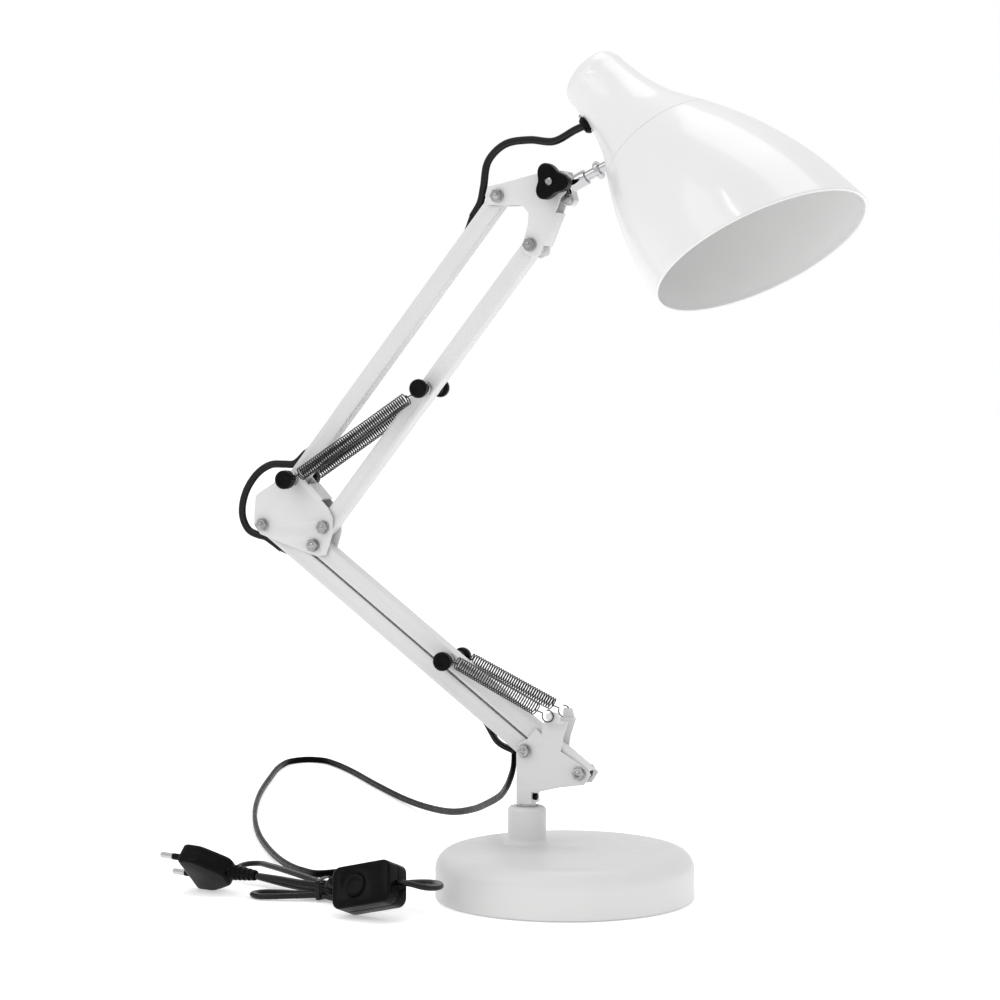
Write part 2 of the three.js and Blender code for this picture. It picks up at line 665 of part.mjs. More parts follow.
function shadeCap() {
  const outer = [0, 0.03, 0.08, 0.15, 0.22, 0.29, 0.36, SHADE.capEnd];
  const inner = outer.slice(1).reverse();
  const skinRings = [...ringsAt(outer, 0), ...ringsAt(inner, SHADE.wall)];
  const shell = twistShade(skin(skinRings, true));
  return cut(
    shell,
    onRod(ROD.radius + GAP, ROD.drillStart, ROD.drillStart + ROD.drillLength),
    twistShade(onShade(GROMMET.s, GROMMET.phi, drill(GROMMET.hole, GROMMET.drill), 16)),
    twistShade(onShade(GROMMET_SCREW.s, GROMMET_SCREW.phi, drill(GROMMET_SCREW.hole, GROMMET_SCREW.drill), 10)),
  );
}

function shadeBell() {
  const outer = [SHADE.bellStart, 0.49, 0.54, 0.6, 0.68, 0.78, 0.89, 1];
  const inner = [...outer].reverse();
  const collarInset = SHADE.wall + GAP;
  return twistShade(skin([
    ...ringsAt(outer, 0),
    ...ringsAt(inner, SHADE.wall + SHADE.lining).slice(0, -1),
    { s: SHADE.bellStart, inset: collarInset + SHADE.wall },
    { s: SHADE.collarStart, inset: collarInset + SHADE.wall },
    { s: SHADE.collarStart, inset: collarInset },
    { s: SHADE.bellStart, inset: collarInset },
  ], false));
}

function holderPiece(profile, segments) {
  const start = shadeCentre(HOLDER.start);
  const { out } = sectionAxes(HOLDER.start);
  return twistShade(turnedOnAxis(start, out, profile, segments));
}

const lampHolder = () => holderPiece([
  [0, 0], [HOLDER.radius - HOLDER.chamfer, 0], [HOLDER.radius, HOLDER.chamfer], [HOLDER.radius, HOLDER.length],
  [HOLDER.socket, HOLDER.length], [HOLDER.socket, HOLDER.length - HOLDER.socketDepth],
  [0, HOLDER.length - HOLDER.socketDepth],
], 24);

const holderRing = () => holderPiece([
  [HOLDER.radius + GAP, HOLDER_RING.from], [HOLDER_RING.radius, HOLDER_RING.from],
  [HOLDER_RING.radius, HOLDER_RING.to], [HOLDER.radius + GAP, HOLDER_RING.to],
  [HOLDER.radius + GAP, HOLDER_RING.from],
], 24);

const cordGrommet = () => twistShade(onShade(GROMMET.s, GROMMET.phi, [
  [GROMMET.bore, GROMMET.inside], [GROMMET.neck, GROMMET.inside], [GROMMET.neck, 0.5], [GROMMET.flange, 0.5],
  [GROMMET.flange, 1.8], [GROMMET.neck, GROMMET.outside], [GROMMET.bore, GROMMET.outside],
  [GROMMET.bore, GROMMET.inside],
], 16));

const grommetScrew = () => twistShade(onShade(GROMMET_SCREW.s, GROMMET_SCREW.phi, [
  [0, -GROMMET_SCREW.depth], [GROMMET_SCREW.shank, -GROMMET_SCREW.depth], [GROMMET_SCREW.shank, GROMMET_SCREW.seat],
  [GROMMET_SCREW.head, GROMMET_SCREW.seat], [GROMMET_SCREW.head - 0.4, 1.8], [0, 2.2],
], 12));

const shadeRod = () => onRod(ROD.radius, ROD.start, ROD.end);

const rodNut = () => cut(
  onRod(ROD.nutRadius, ROD.nutStart, ROD.nutEnd, 6),
  onRod(ROD.radius + GAP, ROD.nutStart - 1, ROD.nutEnd + 1),
);

// ---- cord along the arm ----
const lowerBarCord = (u, v) => barPoint(BASE_LEFT, LOWER_ANGLE, u, v);
const upperBarCord = (u, v) => barPoint(ELBOW_UPPER_LEFT, UPPER_ANGLE, u, v);
const inPlane = (points) => points.map(([x, z]) => [x, 0, z]);
const CABLE_STEP = 12;
const TIGHT_STEP = 5;
const LEAD_STEP = 8.5;

const LOWER_CABLE = inPlane([
  lowerBarCord(27, -8), lowerBarCord(34, -5.2), lowerBarCord(43, -3.1), lowerBarCord(56, -2.6),
  lowerBarCord(188, -2.6), lowerBarCord(203, -3.4), lowerBarCord(217, -7),
]);
const UPPER_CABLE = inPlane([
  upperBarCord(17, -5.9), upperBarCord(28, -4), upperBarCord(42, -2.6), upperBarCord(185, -2.6),
  upperBarCord(198, -4.2), upperBarCord(211.5, -8.2),
]);
const ELBOW_LOOP = inPlane([
  lowerBarCord(217.9, -7.3), [-183.3, 221.2], [-188, 223.9], [-193.2, 225], [-200.2, 228], [-204.6, 235.5],
  [-205.1, 244], [-201.5, 255.5], [-193, 266.5], [-183.5, 271.9], [-173.5, 272.4], [-166.2, 272.8],
  upperBarCord(16.2, -6),
]);
const HEAD_LOOP = [
  ...inPlane([upperBarCord(212.4, -8.5), [-32.6, 441.6], [-30.2, 451.8], [-27, 468], [-15.6, 478.4]]),
  [1.6, -0.5, 480.8],
  [18.7, -1.2, 479.4],
];
const BASE_LOOP = [
  ...inPlane([lowerBarCord(25.4, -8.6), [-14.5, 96.4]]),
  [-10.8, 4.3, 90],
  [-14, 11, 79],
  [-23.2, 25.4, 66.2],
];

// The loop at the head goes straight into the grommet for its last few millimetres.
function headCableLoop() {
  const surface = shadePoint(GROMMET.s, GROMMET.phi, 0);
  const outward = shadeNormal(GROMMET.s, GROMMET.phi);
  const points = [11, 7, 3, -1.5].map((height) => surface.clone().addScaledVector(outward, height));
  const entry = twistShade(new THREE.BufferGeometry().setFromPoints(points)).attributes.position;
  const ends = points.map((_, i) => new THREE.Vector3().fromBufferAttribute(entry, i).toArray());
  return tube([...HEAD_LOOP, ...ends], CORD.radius, TIGHT_STEP);
}

// ---- loose cord, switch and plug ----
const FLOOR = 2.8;
const POWER_CORD = [
  [-52.6, 33, 65.8], [-60, 45, 59.5], [-72, 65, 51.5], [-100, 107, 38], [-129, 150, 26], [-163, 193, 15.5],
  [-203, 243, 8], [-249, 297, 3.8], [-304, 360.4, FLOOR], [-356, 421, FLOOR], [-385, 451, FLOOR],
  [-403, 465, FLOOR], [-418, 465, FLOOR], [-426, 451, FLOOR], [-422, 424, FLOOR], [-398.6, 359.5, FLOOR],
  [-363.8, 274.5, FLOOR], [-324, 192.3, FLOOR], [-281.9, 118.9, FLOOR], [-243.7, 62.5, 3.2],
  [-213, 20.5, 5], [-190.3, -7.7, 7], [-172, -28, 9.2], [-154, -45, 11.5], [-140.5, -51.6, 14], [-134, -54, 15.4],
  [-128, -59, 16.8], [-124, -69, 17.6], [-122.6, -80, 17.2], [-122.3, -90, 15.6], [-119.6, -98.4, 14],
  [-114, -103.8, 13.2], [-107.2, -106, 13.7],
];
const TIE = {
  x: -137,
  y: -68,
  low: 4.7,
  high: 10.3,
  half: 9.9,
  bottom: 1.1,
  top: 14.2,
  corner: 1.6,
  wire: 0.6,
  width: 2.4,
};
const LEAD = [
  [-64.6, -111, 24.1], [-56.5, -111.6, 23.8], [-49.8, -108.4, 21.8], [-46.2, -100.5, 20.2], [-46.6, -90.5, 19.6],
  [-52.4, -82, 19.4], [-62, -76, 18.4], [-74, -70.5, 16.4], [-86, -65, 13.8], [-101, -60.5, 11.4],
  [-119, -61.2, 10.2],
  [TIE.x, TIE.y + 2.9, TIE.high],
  [-156, -55, 11], [-178, -41, 11.4], [-198, -27, 11], [-209, -19.5, 10.4], [-217.5, -21, 9.6], [-219, -29.5, 8.6],
  [-211, -36.5, 7.6], [-192, -43.5, 6], [-165, -53, 4.6],
  [TIE.x, TIE.y + 5.9, TIE.low],
  [-122, -61.2, 3.6], [-110, -60, 3], [-101, -62.5, 3], [-98, -68.5, 3], [-101, -75, 3], [-110, -77.5, 3],
  [-122, -76, 3.6],
  [TIE.x, TIE.y - 5.9, TIE.low],
  [-152, -77.5, 4], [-166, -82.5, 3.4], [-175.5, -83.5, 3], [-182, -78.5, 3], [-180, -71, 3], [-171, -68.2, 3.2],
  [-156, -68.8, 3.8],
  [TIE.x, TIE.y, TIE.low],
  [-124, -68.5, 6.6], [-112, -68.3, 8.9], [-98, -69.5, 9], [-90, -73.5, 9], [-88.5, -80.5, 9], [-95, -85, 9],
  [-106, -84.5, 9], [-121, -77.5, 9.6],
  [TIE.x, TIE.y - 2.9, TIE.high],
  [-150, -74.8, 11.4], [-164, -79.4, 13.6],
  [-178.9, -79, 14.4],
];

// The switch's own frame: x along it, y up its face, z out of its face.
function switchFrame() {
  const long = new THREE.Vector3(...SWITCH.long).normalize();
  const out = new THREE.Vector3(...SWITCH.back).negate();
  out.addScaledVector(long, -out.dot(long)).normalize();
  const up = out.clone().cross(long);
  return new THREE.Matrix4().makeBasis(long, up, out).setPosition(...SWITCH.centre);
}

// Half of the switch's case: a rounded outline between two depths.
function switchCase(z0, z1, round) {
  const x = SWITCH.length / 2;
  const y = SWITCH.height / 2;
  const r = SWITCH.round;
  const corner = (cx, cy, from) => arc([cx, cy], r, from, from + 90, 3);
  const outline = [
    ...corner(x - r, y - r, 0),
    ...corner(r - x, y - r, 90),
    ...corner(r - x, r - y, 180),
    ...corner(x - r, r - y, 270),
  ];
  const shape = new THREE.Shape(outline.map(([a, b]) => new THREE.Vector2(a, b)));
  const depth = z1 - z0 - round;
  const bevel = { bevelThickness: round, bevelSize: round, bevelOffset: -round, bevelSegments: 2 };
  const solid = new THREE.ExtrudeGeometry(shape, { depth, ...bevel });
  return solid.translate(0, 0, z0);
}

const ROCKER = { x: -4, radius: 7, depth: 3, tilt: 8, sink: 0.4, hole: 7.4, holeDepth: 4.4 };

function switchHalf() {
  const { length, depth, seam, bevel, exitDepth } = SWITCH;
  const cover = switchCase(seam / 2 - bevel, depth / 2, bevel);
  const below = box(-length, length, -length, length, -depth, seam / 2);
  const exits = [-1, 1].map((side) => (
    new THREE.CylinderGeometry(CORD.radius + GAP, CORD.radius + GAP, exitDepth, 10)
      .rotateZ(Math.PI / 2)
      .translate(side * (length / 2), 0, 0)
  ));
  return cut(cover, below, ...exits);
}

function switchTop() {
  const well = new THREE.CylinderGeometry(ROCKER.hole, ROCKER.hole, 2 * ROCKER.holeDepth, 24).rotateX(Math.PI / 2);
  well.translate(ROCKER.x, 0, SWITCH.depth / 2);
  return cut(switchHalf(), well).applyMatrix4(switchFrame());
}

const switchBottom = () => switchHalf().rotateX(Math.PI).applyMatrix4(switchFrame());

// A round rocker, one half standing proud and the other pressed in.
function switchRocker() {
  const disc = new THREE.CylinderGeometry(ROCKER.radius, ROCKER.radius, ROCKER.depth, 24).rotateX(Math.PI / 2);
  disc.rotateY(THREE.MathUtils.degToRad(ROCKER.tilt)).translate(ROCKER.x, 0, SWITCH.depth / 2 - ROCKER.sink);
  return disc.applyMatrix4(switchFrame());
}

// The tie: a rounded square band round the folded lead.
function cordTie() {
  const { x, y, half, bottom, top, corner, wire, width } = TIE;
  const left = y - half;
  const right = y + half;
  const middle = (bottom + top) / 2;
  const loop = [
    [left + corner, bottom], [right - corner, bottom], [right, bottom + corner], [right, middle],
    [right, top - corner], [right - corner, top], [left + corner, top], [left, top - corner], [left, middle],
    [left, bottom + corner],
  ];
  const grown = (by) => loop.map(([across, up]) => (
    new THREE.Vector2(across + Math.sign(across - y) * by, up + Math.sign(up - middle) * by)
  ));
  const band = new THREE.Shape(grown(wire));
  band.holes.push(new THREE.Path(grown(-wire)));
  const strip = new THREE.ExtrudeGeometry(band, { depth: width, bevelEnabled: false });
  const upright = new THREE.Matrix4().makeBasis(
    new THREE.Vector3(0, 1, 0),
    new THREE.Vector3(0, 0, 1),
    new THREE.Vector3(1, 0, 0),
  );
  return strip.applyMatrix4(upright).translate(x - width / 2, 0, 0);
}

// The plug's own frame: x from its cord to its pins, y across its width, z through its thickness.
function plugFrame() {
  const nose = new THREE.Vector3(...PLUG.nose);
  const ahead = nose.clone().sub(new THREE.Vector3(...PLUG.tail)).normalize();
  const level = new THREE.Vector3(0, 0, 1).cross(ahead).normalize();
  const lift = ahead.clone().cross(level);
  const roll = THREE.MathUtils.degToRad(PLUG.roll);
  const across = level.clone().multiplyScalar(Math.cos(roll)).addScaledVector(lift, Math.sin(roll));
  return new THREE.Matrix4().makeBasis(ahead, across, ahead.clone().cross(across)).setPosition(nose);
}

const PLUG_BODY = {
  back: -32,
  backHalf: 7,
  shoulder: -14,
  corner: 2,
  neck: 28,
  ribs: 5,
  firstRib: 33,
  ribPitch: 3.7,
  tail: 51.6,
  tailRadius: 3.4,
  neckRadius: 5.2,
  taper: 0.35,
  groove: 0.9,
  entry: 6,
};
const PLUG_PIN = { spacing: 18.4, radius: 2, root: -5.5, tip: 19, chamfer: 0.9, socket: 2.3 };

// A flat plug with a tapered back and a ribbed sleeve, bored for the cord and for its two pins.
function plugBlock() {
  const { back, backHalf, shoulder, corner } = PLUG_BODY;
  const half = PLUG.width / 2;
  const outline = [
    [0, corner - half], [0, half - corner], [-corner, half], [shoulder, half], [back, backHalf],
    [back, -backHalf], [shoulder, -half], [-corner, -half],
  ];
  const shape = new THREE.Shape(outline.map(([x, y]) => new THREE.Vector2(x, y)));
  const depth = PLUG.thickness - 2 * corner;
  const bevel = { bevelThickness: corner, bevelSize: corner, bevelOffset: -corner, bevelSegments: 2 };
  return new THREE.ExtrudeGeometry(shape, { depth, ...bevel }).translate(0, 0, -depth / 2);
}

function plugSleeve() {
  const { neck, neckRadius, ribs, firstRib, ribPitch, taper, groove, tail, tailRadius } = PLUG_BODY;
  const profile = [[0, neck], [neckRadius, neck]];
  for (let rib = 0; rib < ribs; rib += 1) {
    const at = firstRib + rib * ribPitch;
    const radius = neckRadius - rib * taper;
    profile.push([radius, at], [radius - groove, at + 0.6], [radius - groove, at + 1.6], [radius - 0.3, at + 2.2]);
  }
  profile.push([tailRadius, tail], [0, tail]);
  return turnedOnAxis(new THREE.Vector3(), new THREE.Vector3(-1, 0, 0), profile, 12);
}

function plugBody() {
  const bore = CORD.radius + GAP;
  const { tail, entry } = PLUG_BODY;
  const cordEntry = turnedOnAxis(new THREE.Vector3(-tail - 1, 0, 0), new THREE.Vector3(1, 0, 0), [
    [0, 0], [bore, 0], [bore, entry], [0, entry],
  ], 12);
  const sockets = [-1, 1].map((side) => plugPinSolid(side, PLUG_PIN.socket, PLUG_PIN.root - 0.5, 1));
  return cut(join(plugBlock(), plugSleeve()), cordEntry, ...sockets).applyMatrix4(plugFrame());
}

function plugPinSolid(side, radius, from, to) {
  const origin = new THREE.Vector3(from, side * PLUG_PIN.spacing / 2, 0);
  const length = to - from;
  return turnedOnAxis(origin, new THREE.Vector3(1, 0, 0), [
    [0, 0], [radius, 0], [radius, length - PLUG_PIN.chamfer], [radius - PLUG_PIN.chamfer, length], [0, length],
  ], 10);
}

// ---- the parts, from the table up ----
addPart('base_cover', baseCover(), PAINT_WHITE);
addPart('base_weight', baseWeight(), CAST_IRON);
addPart('base_pad', basePad(), FELT);
addPart('post_bush', postBush(), LINER);

addArmPart('base_bracket', baseBracket(), PAINT_WHITE);
addArmPart('base_bolt_left', pivotBolt(BASE_LEFT), NICKEL);
addArmPart('base_bolt_right', pivotBolt(BASE_RIGHT), NICKEL);
addArmPart('lower_left_bar', channelBar(BASE_LEFT, LOWER_ANGLE), PAINT_WHITE);
addArmPart('lower_right_bar', channelBar(BASE_RIGHT, LOWER_ANGLE, [LOWER_PIN_AT]), PAINT_WHITE);

addArmPart('elbow_bracket', elbowBracket(), PAINT_WHITE);
addArmPart('elbow_bolt_lower_left', pivotBolt(ELBOW_LOWER_LEFT), NICKEL);
addArmPart('elbow_bolt_lower_right', pivotBolt(ELBOW_LOWER_RIGHT), NICKEL);
addArmPart('elbow_bolt_upper_right', pivotBolt(ELBOW_UPPER_RIGHT), NICKEL);
addArmPart('upper_left_bar', channelBar(ELBOW_UPPER_LEFT, UPPER_ANGLE), PAINT_WHITE);
addArmPart('upper_right_bar', channelBar(ELBOW_UPPER_RIGHT, UPPER_ANGLE, [UPPER_PIN_AT]), PAINT_WHITE);

// Spring pins: a collar on each side, then the springs' eyes, then knobs from inner to outer.
const LOWER_PIN = { collar: 5.3, collarEnd: 8.6, eye: 11.5, hookEye: 14, inner: 12.6, outer: 18.6 };
const ELBOW_PIN = { collar: 7.7, collarEnd: 10.6, eye: 13, inner: 14.1, outer: 22.5 };
const UPPER_PIN = { collar: 5.3, collarEnd: 9.4, eye: 13, inner: 14.1, outer: 19.5 };
addArmPart('lower_spring_pin', springPin(LOWER_SPRING_PIN, LOWER_PIN), NICKEL);
addArmPart('elbow_spring_pin', springPin(ELBOW_UPPER_LEFT, ELBOW_PIN), NICKEL);
addArmPart('upper_spring_pin', springPin(UPPER_SPRING_PIN, UPPER_PIN), NICKEL);
for (const [name, side] of [['front', -1], ['rear', 1]]) {
  addArmPart(`lower_knob_${name}`, roundKnob(LOWER_SPRING_PIN, side, LOWER_PIN), BLACK_KNOB);
  addArmPart(`elbow_knob_${name}`, roundKnob(ELBOW_UPPER_LEFT, side, ELBOW_PIN), BLACK_KNOB);
  addArmPart(`upper_knob_${name}`, roundKnob(UPPER_SPRING_PIN, side, UPPER_PIN), BLACK_KNOB);
  addArmPart(`lower_spring_${name}`, spring(
    LOWER_COIL.pinEnd, LOWER_COIL.hookEnd,
    LOWER_SPRING_PIN, side * LOWER_PIN.eye,
    LOWER_SPRING_HOOK, side * LOWER_PIN.hookEye,
  ), SPRING_STEEL);
  addArmPart(`upper_spring_${name}`, spring(
    UPPER_COIL.elbowEnd, UPPER_COIL.pinEnd,
    ELBOW_UPPER_LEFT, side * ELBOW_PIN.eye,
    UPPER_SPRING_PIN, side * UPPER_PIN.eye,
  ), SPRING_STEEL);
}

addArmPart('head_bracket', headBracket(), PAINT_WHITE);
addArmPart('head_bolt_left', pivotBolt(HEAD_LEFT), NICKEL);
addArmPart('head_bolt_right', pivotBolt(HEAD_RIGHT), NICKEL);
addArmPart('swivel_block', swivelBlock(), CHROME);
addArmPart('swivel_screw', swivelScrew(), NICKEL);
addArmPart('tilt_bolt', tiltBolt(), NICKEL);
addArmPart('tilt_knob', tiltKnob(), BLACK_KNOB);

addArmPart('shade_rod', shadeRod(), CHROME);
addArmPart('rod_nut', rodNut(), CHROME);
addArmPart('shade_cap', shadeCap(), SHADE_WHITE);
addArmPart('shade_bell', shadeBell(), SHADE_WHITE);
addArmPart('lamp_holder', lampHolder(), CERAMIC);
addArmPart('holder_ring', holderRing(), CERAMIC);
addArmPart('cord_grommet', cordGrommet(), BLACK_KNOB);
addArmPart('grommet_screw', grommetScrew(), CHROME);

addArmPart('head_cable_loop', headCableLoop(), BLACK_CORD);
addArmPart('upper_cable', tube(UPPER_CABLE, CORD.radius, CABLE_STEP), BLACK_CORD);
addArmPart('elbow_cable_loop', tube(ELBOW_LOOP, CORD.radius, TIGHT_STEP), BLACK_CORD);
addArmPart('lower_cable', tube(LOWER_CABLE, CORD.radius, CABLE_STEP), BLACK_CORD);
addArmPart('base_cable_loop', tube(BASE_LOOP, CORD.radius, TIGHT_STEP), BLACK_CORD);

addPart('power_cord', tube(POWER_CORD, CORD.radius, CABLE_STEP), BLACK_CORD);
addPart('switch_top', switchTop(), BLACK_CASE);
addPart('switch_bottom', switchBottom(), BLACK_CASE);
addPart('switch_rocker', switchRocker(), BLACK_CASE);
addPart('cord_hank', tube(LEAD, CORD.radius, LEAD_STEP), BLACK_CORD);
addPart('cord_tie', cordTie(), BLACK_CORD);
addPart('plug_body', plugBody(), BLACK_CASE);
for (const [name, side] of [['left', -1], ['right', 1]]) {
  const pin = plugPinSolid(side, PLUG_PIN.radius, PLUG_PIN.root, PLUG_PIN.tip);
  addPart(`plug_pin_${name}`, pin.applyMatrix4(plugFrame()), CHROME);
}

export default root;
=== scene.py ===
"""Looks of the swing arm desk lamp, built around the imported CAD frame. Lengths below are millimetres."""

import math

import bmesh
import bpy
from mathutils import Matrix, Vector


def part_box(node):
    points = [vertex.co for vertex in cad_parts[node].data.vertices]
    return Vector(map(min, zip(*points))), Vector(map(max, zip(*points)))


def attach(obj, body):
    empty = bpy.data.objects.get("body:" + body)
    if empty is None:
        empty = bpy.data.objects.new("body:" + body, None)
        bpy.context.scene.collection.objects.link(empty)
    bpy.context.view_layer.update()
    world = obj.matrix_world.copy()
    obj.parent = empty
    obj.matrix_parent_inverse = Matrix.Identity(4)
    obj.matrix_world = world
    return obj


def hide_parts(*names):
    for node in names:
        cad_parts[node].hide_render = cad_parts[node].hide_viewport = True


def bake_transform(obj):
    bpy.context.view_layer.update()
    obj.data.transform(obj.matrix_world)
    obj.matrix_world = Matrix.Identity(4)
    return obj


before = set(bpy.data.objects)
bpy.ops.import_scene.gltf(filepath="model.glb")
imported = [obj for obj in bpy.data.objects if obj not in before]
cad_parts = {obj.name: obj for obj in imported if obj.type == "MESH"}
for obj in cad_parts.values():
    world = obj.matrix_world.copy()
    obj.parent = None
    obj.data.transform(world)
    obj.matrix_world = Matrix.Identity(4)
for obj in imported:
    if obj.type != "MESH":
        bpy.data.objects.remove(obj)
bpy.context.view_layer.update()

MM = 0.001
X_AXIS = Vector((1, 0, 0))
Y_AXIS = Vector((0, 1, 0))
Z_AXIS = Vector((0, 0, 1))
CENTRE = Vector((0, 0, 0))


# ---- places taken from the frame
def corners(node):
    low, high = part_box(node)
    return low / MM, high / MM


def centre(node):
    low, high = corners(node)
    return (low + high) / 2


BASE_LEFT = centre("base_bolt_left")
BASE_RIGHT = centre("base_bolt_right")
ELBOW_LOWER_LEFT = centre("elbow_bolt_lower_left")
ELBOW_UPPER_LEFT = centre("elbow_spring_pin")
HEAD_LEFT = centre("head_bolt_left")
HEAD_RIGHT = centre("head_bolt_right")
LOWER_SPRING_PIN = centre("lower_spring_pin")
UPPER_SPRING_PIN = centre("upper_spring_pin")
POST = centre("post_bush")
ARM_Y = POST.y
POST_FOOT = Vector((POST.x, ARM_Y, 0))


def arm(x, z, y=0.0):
    """A point of the arm, measured from the post's axis as in the CAD part."""
    return Vector((POST.x + x, ARM_Y + y, z))


TILT = arm(23.1, 453.1)
LOWER_ALONG = (ELBOW_LOWER_LEFT - BASE_LEFT).normalized()
UPPER_ALONG = (HEAD_LEFT - ELBOW_UPPER_LEFT).normalized()
ROD_ANGLE = math.radians(26)
ROD_AXIS = Vector((math.cos(ROD_ANGLE), 0, math.sin(ROD_ANGLE)))
ROD_FOOT = arm(25, 449.2)


# ---- camera
CAMERA_PLACE = Vector((674.0, -1693.7, 351.5))
CAMERA_AIM = Vector((-47.8, 7.0, 251.9))
CAMERA_LENS = 103.97
SENSOR_WIDTH = 36


def add_object(name, data):
    obj = bpy.data.objects.new(name, data)
    bpy.context.scene.collection.objects.link(obj)
    return obj


def look_from(obj, place, aim):
    """Puts a camera or a lamp at a place, in metres, and turns it to the aim."""
    obj.location = place
    obj.rotation_euler = (Vector(aim) - Vector(place)).to_track_quat("-Z", "Y").to_euler()


def make_camera():
    data = bpy.data.cameras.new("camera")
    data.lens = CAMERA_LENS
    data.sensor_width = SENSOR_WIDTH
    data.clip_start = 0.05
    data.clip_end = 50
    camera = add_object("camera", data)
    look_from(camera, CAMERA_PLACE * MM, CAMERA_AIM * MM)
    bpy.context.scene.camera = camera


make_camera()


# ---- materials
WHITE = (1, 1, 1, 1)
NOISE_DETAIL = 3.0
NOISE_LOW, NOISE_HIGH = 0.3, 0.7


def set_sockets(node, **values):
    for socket, value in values.items():
        node.inputs[socket.replace("_", " ")].default_value = value


class Nodes:
    """A small helper around one material's node tree."""

    def __init__(self, name, color, roughness, metallic=0.0, **sockets):
        self.material = bpy.data.materials.new(name)
        self.material.use_nodes = True
        self.tree = self.material.node_tree
        self.shader = self.tree.nodes["Principled BSDF"]
        set_sockets(self.shader, Base_Color=(*color, 1), Roughness=roughness, Metallic=metallic, **sockets)
        self.normal = None

    def new(self, kind, **sockets):
        node = self.tree.nodes.new(kind)
        set_sockets(node, **sockets)
        return node

    def link(self, output, target):
        self.tree.links.new(output, target)

    def noise(self, scale):
        texture = self.new("ShaderNodeTexNoise", Scale=scale, Detail=NOISE_DETAIL)
        self.link(self.new("ShaderNodeTexCoord").outputs["Object"], texture.inputs["Vector"])
        return texture.outputs["Fac"]

    def color_variation(self, scale, color_low, color_high, low=0.35, high=0.65):
        node = self.new("ShaderNodeValToRGB")
        for element, at, color in zip(node.color_ramp.elements, (low, high), (color_low, color_high)):
            element.position = at
            element.color = (*color, 1)
        self.link(self.noise(scale), node.inputs["Fac"])
        self.link(node.outputs["Color"], self.shader.inputs["Base Color"])

    def roughness_variation(self, scale, low, high):
        node = self.new("ShaderNodeMapRange", From_Min=NOISE_LOW, From_Max=NOISE_HIGH, To_Min=low, To_Max=high)
        self.link(self.noise(scale), node.inputs["Value"])
        self.link(node.outputs["Result"], self.shader.inputs["Roughness"])

    def bump(self, scale, strength, distance):
        node = self.new("ShaderNodeBump", Strength=strength, Distance=distance)
        self.link(self.noise(scale), node.inputs["Height"])
        if self.normal is not None:
            self.link(self.normal, node.inputs["Normal"])
        self.normal = node.outputs["Normal"]
        self.link(self.normal, self.shader.inputs["Normal"])


def grey(value):
    return (value, value, value)


def finish(name, color, roughness, metallic=0.0, tones=(), polish=(), bumps=(), **sockets):
    """A material: tones vary its colour, polish its roughness, and each bump its surface."""
    nodes = Nodes(name, color, roughness, metallic, **sockets)
    if tones:
        nodes.color_variation(*tones)
    if polish:
        nodes.roughness_variation(*polish)
    for bump in bumps:
        nodes.bump(*bump)
    return nodes.material


def cord_black(gloss):
    """Satin black cable sheath; the stretch seen almost end-on takes less gloss."""
    return finish(
        "cord_black", grey(0.003), 0.25, tones=(90, grey(0.002), grey(0.004)), polish=(160, 0.22, 0.36),
        bumps=[(1200, 0.2, 0.0002)], Specular_IOR_Level=gloss,
    )


